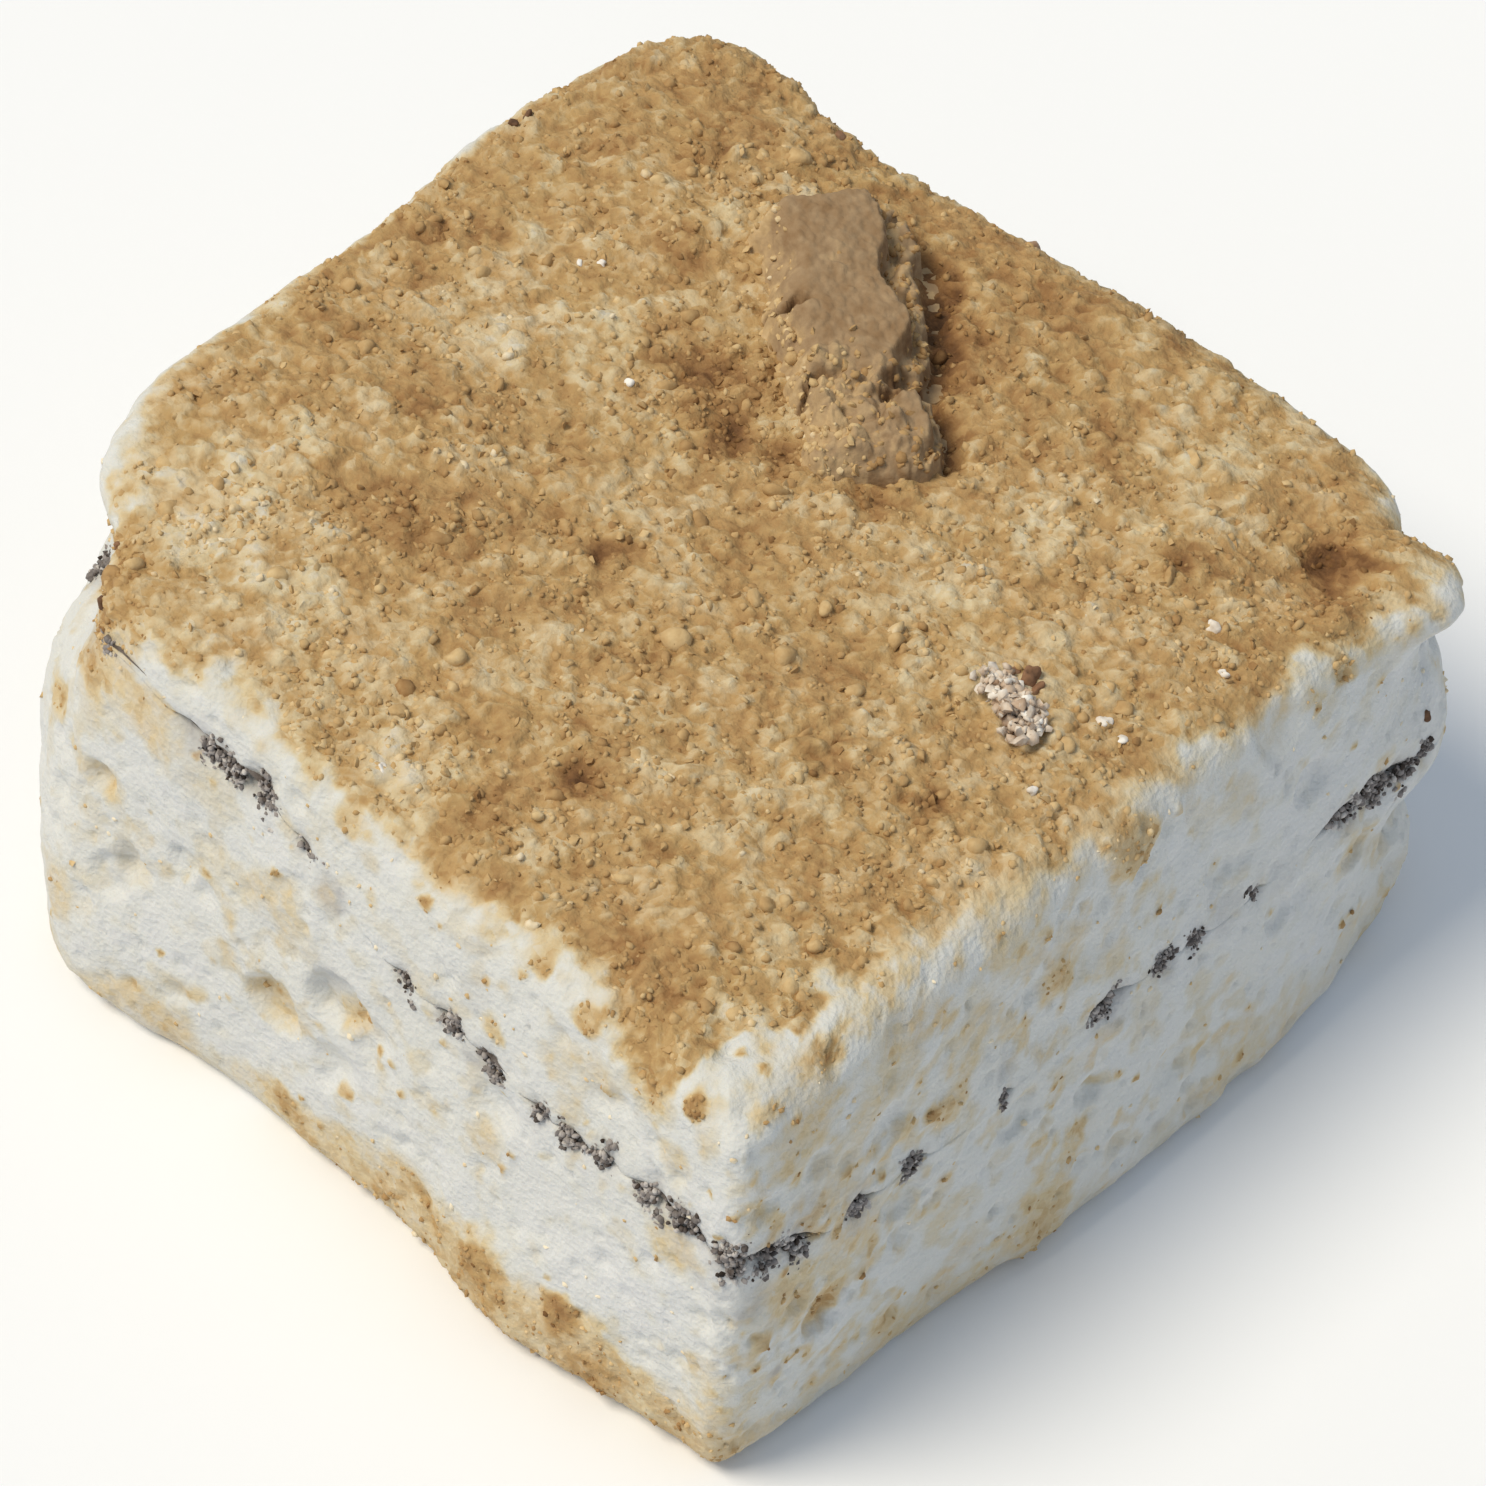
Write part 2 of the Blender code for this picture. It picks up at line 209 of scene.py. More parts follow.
# Crumb-stained patches of the walls: place along the side, z, reach, tone, rise.
WALL_PATCHES = {
    "front": (
        (-2.6, 7.2, 1.3, 0.33, 0.0),
        (1.0, 9.8, 0.9, 0.32, 0.0),
        (-2.9, 13.2, 1.5, 0.27, 0.05),
        (-4.6, 12.0, 0.9, 0.24, 0.0),
        (-13.6, 4.6, 1.4, 0.28, 0.0),
        (-13.4, 14.8, 1.2, 0.26, 0.0),
        (-11.9, 11.8, 1.0, 0.27, 0.0),
        (-16.2, 16.0, 1.4, 0.52, 0.1),
        (-12.6, 17.7, 1.8, 0.34, 0.0),
        (-14.6, 17.0, 1.4, 0.42, 0.05),
        (-10.4, 17.0, 1.2, 0.30, 0.0),
        (-16.2, 12.2, 0.8, 0.42, 0.05),
        (-10.6, 8.8, 0.9, 0.22, 0.0),
        (-7.6, 4.4, 0.8, 0.28, 0.0),
        (-7.0, 15.5, 1.6, 0.22, 0.0),
        (-6.6, 12.4, 1.1, 0.23, 0.0),
        (-1.7, 2.0, 0.8, 0.52, 0.05),
        (8.0, 9.6, 0.8, 0.26, 0.0),
        (1.0, 5.7, 0.4, 0.42, 0.05),
        (-0.6, 18.9, 0.7, 0.34, 0.0),
        (0.9, 18.0, 0.6, 0.25, 0.0),
        (3.7, 18.3, 0.35, 0.62, 0.05),
        (7.7, 15.0, 0.5, 0.36, 0.05),
        (9.0, 19.3, 0.5, 0.44, 0.0),
        (11.8, 18.8, 0.7, 0.44, 0.1),
        (12.5, 16.6, 1.2, 0.25, 0.0),
        (15.4, 17.8, 1.0, 0.28, 0.0),
        (16.9, 18.9, 0.5, 0.56, 0.1),
        (16.4, 16.0, 0.8, 0.27, 0.0),
        (12.8, 4.0, 1.0, 0.54, 0.05),
        (14.0, 1.8, 1.1, 0.54, 0.05),
        (9.0, 3.0, 1.3, 0.50, 0.05),
        (17.0, 11.6, 1.3, 0.30, 0.0),
    ),
    "right": (
        (0.4, 18.4, 1.3, 0.42, 0.25),
        (-3.6, 14.8, 0.8, 0.42, 0.1),
        (-3.0, 16.2, 1.0, 0.27, 0.0),
        (-0.6, 13.4, 0.9, 0.24, 0.0),
        (12.3, 18.4, 0.6, 0.44, 0.08),
        (-9.7, 12.3, 0.9, 0.36, 0.1),
        (-11.9, 13.2, 0.6, 0.34, 0.1),
        (-10.4, 13.0, 0.4, 0.50, 0.1),
        (-18.0, 9.6, 1.8, 0.31, 0.0),
        (-16.0, 6.8, 1.0, 0.46, -0.1),
        (-17.2, 8.2, 0.8, 0.37, 0.1),
        (-13.8, 7.4, 0.6, 0.30, 0.05),
        (-14.6, 9.4, 1.6, 0.28, 0.0),
        (-19.4, 7.9, 0.6, 0.42, 0.12),
        (-12.5, 16.8, 1.6, 0.27, 0.0),
        (-15.4, 13.2, 1.2, 0.26, 0.0),
        (-9.6, 6.4, 1.1, 0.24, 0.0),
        (-12.4, 3.0, 0.9, 0.38, 0.05),
        (-4.2, 2.6, 1.5, 0.36, 0.1),
        (-8.3, 4.6, 1.0, 0.23, 0.0),
        (7.0, 3.0, 1.4, 0.28, 0.0),
        (13.8, 8.4, 1.3, 0.27, 0.0),
        (16.2, 6.2, 1.0, 0.26, 0.0),
        (1.2, 9.2, 0.9, 0.22, 0.0),
        (4.4, 8.2, 0.8, 0.22, 0.0),
        (-13.9, 15.6, 1.2, 0.26, 0.0),
        (-17.2, 17.5, 1.6, 0.30, 0.0),
        (-8.0, 15.4, 1.6, 0.25, 0.0),
        (-5.5, 17.6, 1.2, 0.25, 0.0),
        (6.5, 16.5, 1.2, 0.22, 0.0),
        (-6.0, 19.0, 1.5, 0.28, 0.0),
    ),
}
# Burst bubbles and creases cut into the walls: place along the side, z, reach, depth.
WALL_CRATERS = {
    "front": (
        (-2.7, 7.3, 1.25, 0.55),
        (0.4, 10.2, 1.25, 0.55),
        (-11.2, 7.6, 0.9, 0.35),
        (-12.3, 11.8, 0.7, 0.3),
        (-7.9, 10.8, 0.6, 0.25),
    ),
    "right": (
        (-16.2, 6.6, 0.8, 0.35),
        (-12.0, 9.5, 0.9, 0.3),
        (8.8, 8.7, 0.8, 0.3),
        (13.8, 8.2, 0.9, 0.4),
        (5.5, 13.6, 0.8, 0.25),
        (-6.0, 9.0, 0.8, 0.3),
        (10.5, 14.2, 0.9, 0.3),
        (-2.0, 7.6, 0.7, 0.25),
    ),
}

# Darker (+) and paler (-) patches of the coat on the top: x, y, reach, change of tone.
TOP_PATCHES = (
    (-18.8, 3.0, 1.0, 0.14), (-17.0, 4.5, 0.9, 0.14), (-12.9, -3.4, 1.2, 0.15),
    (-16.5, -3.3, 0.8, 0.12), (-15.5, -7.5, 1.0, 0.14), (-7.6, -8.2, 1.6, 0.12),
    (-12.0, -10.0, 0.9, 0.10), (-18.0, -11.5, 0.9, 0.10), (-2.3, -4.7, 0.9, 0.16),
    (4.5, -13.0, 1.2, 0.22), (9.0, -13.2, 1.0, 0.14), (-3.0, -11.4, 1.3, 0.10),
    (0.4, -13.6, 1.3, 0.11), (3.2, -16.2, 1.2, 0.10), (10.0, -6.0, 0.8, 0.12),
    (14.0, -4.7, 1.0, 0.20), (18.6, -9.0, 0.9, 0.20), (17.0, -12.5, 0.9, 0.12),
    (18.0, -15.7, 0.9, 0.12), (13.2, -17.4, 1.5, 0.12), (12.3, 11.0, 1.0, 0.18),
    (7.0, 13.3, 0.9, 0.12), (15.9, 15.4, 1.0, 0.20), (18.3, 13.8, 1.0, 0.14),
    (-14.0, 12.5, 0.9, 0.12), (-11.0, 9.0, 1.3, 0.12), (-7.5, 17.5, 1.0, 0.10),
    (-17.0, 16.5, 1.1, 0.12), (5.0, 19.0, 1.0, 0.12), (-10.0, 8.0, 1.2, 0.11),
    (-7.6, 5.2, 1.5, 0.07), (-4.6, 4.0, 1.9, 0.14), (-1.8, 2.8, 1.8, 0.12), (0.0, 3.6, 1.5, 0.12),
    (3.2, 5.4, 1.1, 0.14), (-1.2, 13.4, 1.5, 0.12),
    (-13.0, 2.5, 3.2, -0.10), (7.2, 2.8, 1.2, -0.14), (-14.0, -13.5, 3.0, -0.20),
    (-8.0, -13.5, 1.6, -0.12), (-1.0, -17.0, 2.0, -0.12), (8.0, 8.0, 2.0, -0.08),
    (-3.0, -1.5, 1.8, -0.08), (10.5, 16.0, 2.0, -0.07), (9.0, -9.5, 2.2, -0.06), (18.6, -12.0, 1.6, -0.16), (18.6, -6.5, 1.4, -0.10),
    (15.6, -16.6, 1.2, -0.16), (1.0, -3.0, 8.0, 0.05), (-1.0, 17.0, 6.0, 0.06),
    (12.0, -11.0, 5.0, 0.03), (-14.5, 15.0, 6.0, 0.05),
)
# Pockets sunk into the coat and darkened with painted shade: x, y, reach, depth.
TOP_POCKETS = (
    (4.5, -13.0, 0.7, 0.3), (14.0, -4.7, 0.5, 0.3), (18.4, -9.0, 0.4, 0.25),
    (-2.4, -4.8, 0.4, 0.2), (15.9, 15.4, 0.7, 0.4), (2.0, -2.5, 0.35, 0.2),
    (2.3, -7.0, 0.35, 0.2), (12.3, 11.0, 0.4, 0.25), (-6.4, 4.6, 0.6, 0.25),
    (-3.4, 3.2, 0.7, 0.25), (-1.4, 4.0, 0.6, 0.22), (-7.6, -8.6, 0.4, 0.2),
)
# The crevice along the far right side of the lump, darkened with painted shade: points (x, y), reach and
# depth.
CREVICE = ((-4.4, 15.6), (-2.6, 14.2), (-1.0, 12.4), (0.2, 10.6), (1.6, 9.4), (3.0, 8.6))
CREVICE_REACH = 0.6
CREVICE_DEPTH = 0.7

COAT_PALEST = 0.27  # tone of its palest crumbs
THIN_COAT = (18.2, -16.5, 5.5)  # where the coat is patchy: x, y, reach
LUMP_CELLS = (190, 110)
LUMP_LEVELS = 4
LUMP_REACH = 1.06  # of its foot, against the part's own
LUMP_SHARE = 0.93  # of the part's own height, which leaves room for the relief
LUMP_FOOT = 0.9  # how deep its foot is sunk in the coat
# How far in from each edge of the lump it climbs to its full height. On the right it climbs
# in two steps, with a ledge between them: its share of the height, and its width.
LUMP_SLOPES = {"left": 2.2, "right": 0.5, "front": 1.5, "back": 1.0}
LUMP_LEDGE = 0.42
LUMP_LEDGE_WIDTH = 1.1

# ---------------------------------------------------------------- fields of noise

NOISE_TURN = np.array(Euler((0.61, 0.37, 0.93)).to_matrix())
FULL_RANGE = 2**32


def smooth_step(t):
    t = np.clip(t, 0.0, 1.0)
    return t * t * (3 - 2 * t)


def bell(distance, reach):
    return np.exp(-((distance / reach) ** 2))


def lattice_number(lattice, seed):
    """A fixed whole number below 2**32 for each row (i, j, k) of the lattice."""
    i, j, k = lattice[:, 0], lattice[:, 1], lattice[:, 2]
    n = (i * 73856093 ^ j * 19349663 ^ k * 83492791 ^ seed * 1640531527) & 0xFFFFFFFF
    n = ((n ^ n >> 15) * 2246822519) & 0xFFFFFFFF
    n = ((n ^ n >> 13) * 3266489917) & 0xFFFFFFFF
    return n ^ n >> 16


def soft_noise(points, size, seed):
    """Smooth noise from -1 to 1, with features of the given size."""
    scaled = points @ NOISE_TURN / size
    base = np.floor(scaled).astype(np.int64)
    t = smooth_step(scaled - base)
    total = np.zeros(len(points))
    for corner in itertools.product((0, 1), repeat=3):
        weight = np.prod(np.where(corner, t, 1 - t), axis=1)
        total += weight * lattice_number(base + corner, seed) / FULL_RANGE
    return 2 * total - 1


def rough_noise(points, size, seed, octaves=3):
    """Noise with finer and fainter noise added to it, from about -1 to 1."""
    total = np.zeros(len(points))
    for octave in range(octaves):
        total += soft_noise(points, size / 2**octave, seed + octave) / 2**octave
    return total


def cells(points, size, seed):
    """Cells round scattered centres: distances to the nearest centre and to the next, in
    cell sizes, and a number from 0 to 1 that belongs to the nearest centre."""
    scaled = points @ NOISE_TURN / size
    base = np.floor(scaled).astype(np.int64)
    local = scaled - base
    first = np.full(len(points), 9.0)
    second = np.full(len(points), 9.0)
    nearest = np.zeros(len(points), np.int64)
    for offset in itertools.product((-1, 0, 1), repeat=3):
        n = lattice_number(base + offset, seed)
        centre = np.stack([n & 1023, n >> 10 & 1023, n >> 20 & 1023], axis=1) / 1023
        distance = np.linalg.norm(centre + offset - local, axis=1)
        closer = distance < first
        second = np.where(closer, first, np.minimum(second, distance))
        nearest = np.where(closer, n, nearest)
        first = np.where(closer, distance, first)
    return first, second, (nearest * 2654435761 & 0xFFFFFFFF) / FULL_RANGE


def cobbles(points, size, seed):
    """Packed grains of uneven height from 0 to 1, with creases between them."""
    first, second, number = cells(points, size, seed)
    return smooth_step((second - first) * 2.2) * (0.35 + 0.65 * number), number


# ---------------------------------------------------------------- the part's surfaces


def top_height(x, y):
    """Height of the crumbed top, apart from its rounded edges."""
    height = HEIGHT - TOP_SAG * ((x / HALF_X) ** 4 + (y / HALF_Y) ** 4)
    for mound_x, mound_y, rise, reach in TOP_MOUNDS:
        height = height + rise * bell(np.hypot(x - mound_x, y - mound_y), reach)
    return height


def seam_height(x, y):
    """Middle of the filling: level on the right, higher towards the left-hand edge."""
    height, turns_x, turns_y = SEAM_RIPPLE
    z = SEAM_HEIGHT + height * np.sin(turns_x * x + turns_y * y)
    z = z - SEAM_DROP * smooth_step((y + HALF_Y) / SEAM_DROP_LENGTH)
    for climb, start, length in SEAM_SLOPES:
        z = z + climb * smooth_step((start - x) / length)
    return z


def table_height(x, y):
    return 0.0 * x


def offset_surface(surface, rise):
    """The same surface, moved up by rise."""
    return lambda x, y: surface(x, y) + rise


def plan_edge(u, v, z):
    """Points of the outline at height z, for (u, v) on the edge of the unit square."""
    radius = np.zeros_like(u)
    for (side_x, side_y), corner_radius in CORNER_RADIUS.items():
        nearest = (u * side_x >= 0) & (v * side_y >= 0)
        radius = np.where(nearest, corner_radius, radius)
    x, y = u * HALF_X, v * HALF_Y
    inner_x = np.clip(x, radius - HALF_X, HALF_X - radius)
    inner_y = np.clip(y, radius - HALF_Y, HALF_Y - radius)
    reach = np.hypot(x - inner_x, y - inner_y)
    normal_x, normal_y = (x - inner_x) / reach, (y - inner_y) / reach
    x = inner_x + radius * normal_x
    y = inner_y + radius * normal_y
    level = z / HEIGHT
    for (side_x, side_y), (low, high) in CORNER_SHIFT.items():
        weight = (1 + side_x * u) * (1 + side_y * v) / 4
        x = x + weight * (low[0] + (high[0] - low[0]) * level)
        y = y + weight * (low[1] + (high[1] - low[1]) * level)
    swell = WALL_BULGE * (1 - (2 * level - 1) ** 2)
    for at_x, at_y, at_z, height, reach, reach_z in WALL_SWELLINGS:
        near = bell(np.hypot(x - at_x, y - at_y), reach) * bell(z - at_z, reach_z)
        swell = swell + height * near
    return x + swell * normal_x, y + swell * normal_y


def seam_cluster(x, y):
    """How near a place on the outline is to a cluster of dark crumbs, from 0 to 1."""
    near = np.zeros_like(x)
    place = (x - PLAN_MIDDLE[0], y - PLAN_MIDDLE[1])
    for side, clusters in SEAM_CLUSTERS.items():
        axis, across, sign = SIDES[side]
        out = sign * (x, y)[across] / (HALF_X, HALF_Y)[across]
        share = smooth_step((out - 0.82) / 0.1)
        for at, reach in clusters:
            size = min(1.0, 0.35 + 0.7 * reach)
            near = np.maximum(near, share * size * bell(place[axis] - at, reach * 1.15))
    return near


def seam_gap(x, y):
    return SEAM_FUSED[0] + (SEAM_PARTED[0] - SEAM_FUSED[0]) * seam_cluster(x, y)


def seam_edge(x, y):
    return SEAM_FUSED[1] + (SEAM_PARTED[1] - SEAM_FUSED[1]) * seam_cluster(x, y)


def seam_side(sign):
    """The face that a layer turns to the seam: sign is 1 above it and -1 below it."""
    return lambda x, y: seam_height(x, y) + sign * seam_gap(x, y)


def block_points(cube, low, high, low_edge, high_edge):
    """Carries points (u, v, w) of the cube from -1 to 1 onto a block of the marshmallow.

    low and high are the surfaces below and above the block, and low_edge and high_edge
    the radii of its edges there, each from x and y. Also gives how far each point lies along the wall's path
    from the start of the upper rounding, which is negative on the upper cap.
    """
    u, v, w = cube.T
    spread = np.maximum(np.abs(u), np.abs(v))
    safe = np.where(spread > 0, spread, 1.0)
    edge_u = np.where(spread > 0, u / safe, 1.0)
    edge_v = np.where(spread > 0, v / safe, 0.0)

    x, y = plan_edge(edge_u, edge_v, HEIGHT / 2)
    low_z, high_z = low(x, y), high(x, y)
    wall = high_z - low_z
    low_radius = np.minimum(low_edge(x, y), EDGE_SHARE * wall)
    high_radius = np.minimum(high_edge(x, y), EDGE_SHARE * wall)

    arc = math.pi / 2
    straight = wall - low_radius - high_radius
    path = arc * (low_radius + high_radius) + straight
    along = (w + 1) / 2 * path
    low_angle = np.clip(along / low_radius, 0, arc)
    high_angle = np.clip((along - arc * low_radius - straight) / high_radius, 0, arc)
    climbed = np.clip(along - arc * low_radius, 0, straight)
    inset = low_radius * (1 - np.sin(low_angle)) + high_radius * (1 - np.cos(high_angle))
    rim_z = (
        low_z + low_radius * (1 - np.cos(low_angle)) + climbed + high_radius * np.sin(high_angle)
    )
    x, y = plan_edge(edge_u, edge_v, rim_z)
    rim_x, rim_y = x * (1 - inset / HALF_X), y * (1 - inset / HALF_Y)

    x, y = rim_x * spread, rim_y * spread
    surface = np.where(w > 0, high(x, y), low(x, y))
    rim_surface = np.where(w > 0, high(rim_x, rim_y), low(rim_x, rim_y))
    on_cap = np.abs(w) > 1 - 1e-6
    z = np.where(on_cap, surface + (rim_z - rim_surface) * spread**CAP_STIFFNESS, rim_z)
    down = path - along - (1 - spread) * HALF_X
    return np.stack([x - PLAN_MIDDLE[0], y - PLAN_MIDDLE[1], z], axis=-1), down


def lump_points(u, v):
    """Places on the top for (u, v) over the lump, and how thick its slab is there."""
    along = u * LUMP_HALF_LENGTH * LUMP_REACH
    across = v * LUMP_HALF_WIDTH * (1 - LUMP_NARROWING * u) * LUMP_REACH
    cosine, sine = math.cos(LUMP_TURN), math.sin(LUMP_TURN)
    x = LUMP_CENTRE[0] + along * cosine - across * sine
    y = LUMP_CENTRE[1] + along * sine + across * cosine
    ground = top_height(x, y)
    thickness = LUMP_HEIGHT * (LUMP_MEAN_SHARE - LUMP_LEAN * u)
    return np.stack([x - PLAN_MIDDLE[0], y - PLAN_MIDDLE[1], ground], axis=-1), thickness


# ---------------------------------------------------------------- meshes


def square_rim(count_u, count_v):
    """(u, v) round the edge of the square from -1 to 1, from its near left corner."""
    along_u = np.linspace(-1, 1, count_u + 1)[:-1]
    along_v = np.linspace(-1, 1, count_v + 1)[:-1]
    one_u, one_v = np.ones(count_u), np.ones(count_v)
    u = np.concatenate([along_u, one_v, -along_u, -one_v])
    v = np.concatenate([-one_u, along_v, one_u, -along_v])
    return u, v


def cube_lattice(count_u, count_v, levels, fine_top):
    """Points (u, v, w) over a cube from -1 to 1 and the faces between them. Its walls have
    the given number of levels. Its upper cap is as fine as the walls if fine_top is true."""
    rim_u, rim_v = square_rim(count_u, count_v)
    columns = len(rim_u)
    rows = [(size, -1.0) for size in HIDDEN_CAP_ROWS]
    rows += [(1.0, w) for w in np.linspace(-1, 1, levels)]
    if not fine_top:
        rows += [(size, 1.0) for size in reversed(HIDDEN_CAP_ROWS)]
    points = [np.stack([rim_u * size, rim_v * size, np.full(columns, w)], 1) for size, w in rows]
    number = np.arange(len(rows) * columns).reshape(len(rows), columns)
    onward = np.roll(number, -1, axis=1)
    quads = np.stack([number[:-1], onward[:-1], onward[1:], number[1:]], -1).reshape(-1, 4)
    faces = quads.tolist()

    count = number.size
    points.append(np.array([[0.0, 0.0, -1.0]]))
    faces += [(count, b, a) for a, b in zip(number[0], onward[0])]
    count += 1
    if fine_top:
        grid = np.zeros((count_u + 1, count_v + 1), np.int64)
        i = np.round((rim_u + 1) / 2 * count_u).astype(int)
        j = np.round((rim_v + 1) / 2 * count_v).astype(int)
        grid[i, j] = number[-1]
        inner_u, inner_v = np.meshgrid(
            np.linspace(-1, 1, count_u + 1)[1:-1],
            np.linspace(-1, 1, count_v + 1)[1:-1],
            indexing="ij",
        )
        grid[1:-1, 1:-1] = count + np.arange(inner_u.size).reshape(inner_u.shape)
        points.append(np.stack([inner_u.ravel(), inner_v.ravel(), np.ones(inner_u.size)], 1))
        cap = np.stack([grid[:-1, :-1], grid[1:, :-1], grid[1:, 1:], grid[:-1, 1:]], -1)
        faces += cap.reshape(-1, 4).tolist()
    else:
        points.append(np.array([[0.0, 0.0, 1.0]]))
        faces += [(count, a, b) for a, b in zip(number[-1], onward[-1])]
    return np.concatenate(points), faces


def new_mesh(name, points, faces):
    mesh = bpy.data.meshes.new(name)
    mesh.from_pydata(points * MM, [], faces)
    mesh.shade_smooth()
    return mesh


SHARP_ANGLE = math.radians(72)


def point_normals(mesh):
    values = np.empty(len(mesh.vertices) * 3, np.float32)
    mesh.vertex_normals.foreach_get("vector", values)
    return values.reshape(-1, 3).astype(float)


def add_piece(mesh, points, material, attributes, replaced=()):
    """Makes the mesh a piece of the part, with its points moved to where they are given."""
    low, high = (np.array(corner) / MM for corner in CAD_BOX)
    inside = np.clip(points, low, high)
    mesh.vertices.foreach_set("co", (inside * MM).ravel())
    mesh.update()
    mesh.set_sharp_from_angle(angle=SHARP_ANGLE)
    for label, values in attributes.items():
        attribute = mesh.attributes.new(label, "FLOAT", "POINT")
        attribute.data.foreach_set("value", np.asarray(values, np.float32))
    mesh.materials.append(material)
    piece = bpy.data.objects.new(mesh.name, mesh)
    bpy.context.scene.collection.objects.link(piece)
    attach(piece, "root")
    if replaced:
        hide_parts(*replaced)
    return piece


# ---------------------------------------------------------------- fields on the walls

SIDE_FACING = 0.5


def side_share(side, normals):
    """How much each point belongs to a side, from the way it faces."""
    _, axis, sign = SIDES[side]
    level = np.hypot(normals[:, 0], normals[:, 1])
    facing = normals[:, axis] * sign / np.maximum(level, 1e-6)
    return smooth_step((facing - SIDE_FACING) / 0.3)


def side_profile(table, points, normals, column=1):
    """A value that runs along the sides through that column of the table's rows."""
    total = np.zeros(len(points))
    weight = np.zeros(len(points)) + 1e-9
    for side, rows in table.items():
        place, value = np.array(sorted(rows))[:, (0, column)].T
        share = side_share(side, normals) + 1e-6
        total += share * np.interp(points[:, SIDES[side][0]], place, value)
        weight += share
    return total / weight


def spot_share(distance, reach, edge=0.5):
    """1 inside a spot and 0 outside it, with a soft edge."""
    return smooth_step((1 - distance / reach) / edge + 0.5)


def wall_spots(table, points, normals, wobble, edge):
    """For each spot of the table: how much each point belongs to it, and its row."""
    for side, rows in table.items():
        share = side_share(side, normals)
        along = points[:, SIDES[side][0]]
        for row in rows:
            distance = np.hypot(along - row[0], points[:, 2] - row[1]) * wobble
            yield share * spot_share(distance, row[2], edge), row


# ---------------------------------------------------------------- the marshmallow's relief

# Bubbles in the marshmallow: spacing, reach in spacings, depth, share of cells with one.
BUBBLES = ((3.4, 0.34, 0.42, 0.4), (1.7, 0.32, 0.28, 0.5), (0.85, 0.34, 0.17, 0.5))


def marshmallow_relief(points, seed):
    """Soft swellings, dents and burst bubbles of bare marshmallow."""
    relief = 0.18 * rough_noise(points, 4.2, seed) + 0.07 * rough_noise(points, 1.0, seed + 5, 2)
    for k, (size, reach, depth, share) in enumerate(BUBBLES):
        first, _, number = cells(points, size, seed + 10 + k)
        radius = reach * (0.6 + 0.8 * number / share)
        bowl = np.clip(1 - (first / radius) ** 2, 0, 1)
        relief -= np.where(number < share, depth * bowl**1.2, 0)
    return relief


def warped(points, size, reach, seed):
    """The points, pushed about by noise, so that what is made from them looks less regular."""
    pushes = [soft_noise(points, size, seed + k) for k in range(3)]
    return points + reach * np.stack(pushes, axis=1)


def crumb_relief(points, seed):
    """Packed crumbs: clumps, grains and dust, from about -0.3 to 0.3."""
    bent = warped(points, 0.7, 0.22, seed + 20)
    clumps, _ = cobbles(bent, 1.4, seed)
    grains, _ = cobbles(bent, 0.66, seed + 1)
    dust, _ = cobbles(bent, 0.4, seed + 2)
    relief = 0.12 * rough_noise(points, 5.0, seed + 3, 2) + 0.12 * rough_noise(points, 1.8, seed + 6)
    return relief + 0.27 * (clumps - 0.5) + 0.22 * (grains - 0.5) + 0.09 * (dust - 0.5)


def seam_rise(points):
    """How far each point is above the middle of the seam."""
    middle = seam_height(points[:, 0] + PLAN_MIDDLE[0], points[:, 1] + PLAN_MIDDLE[1])
    return points[:, 2] - middle


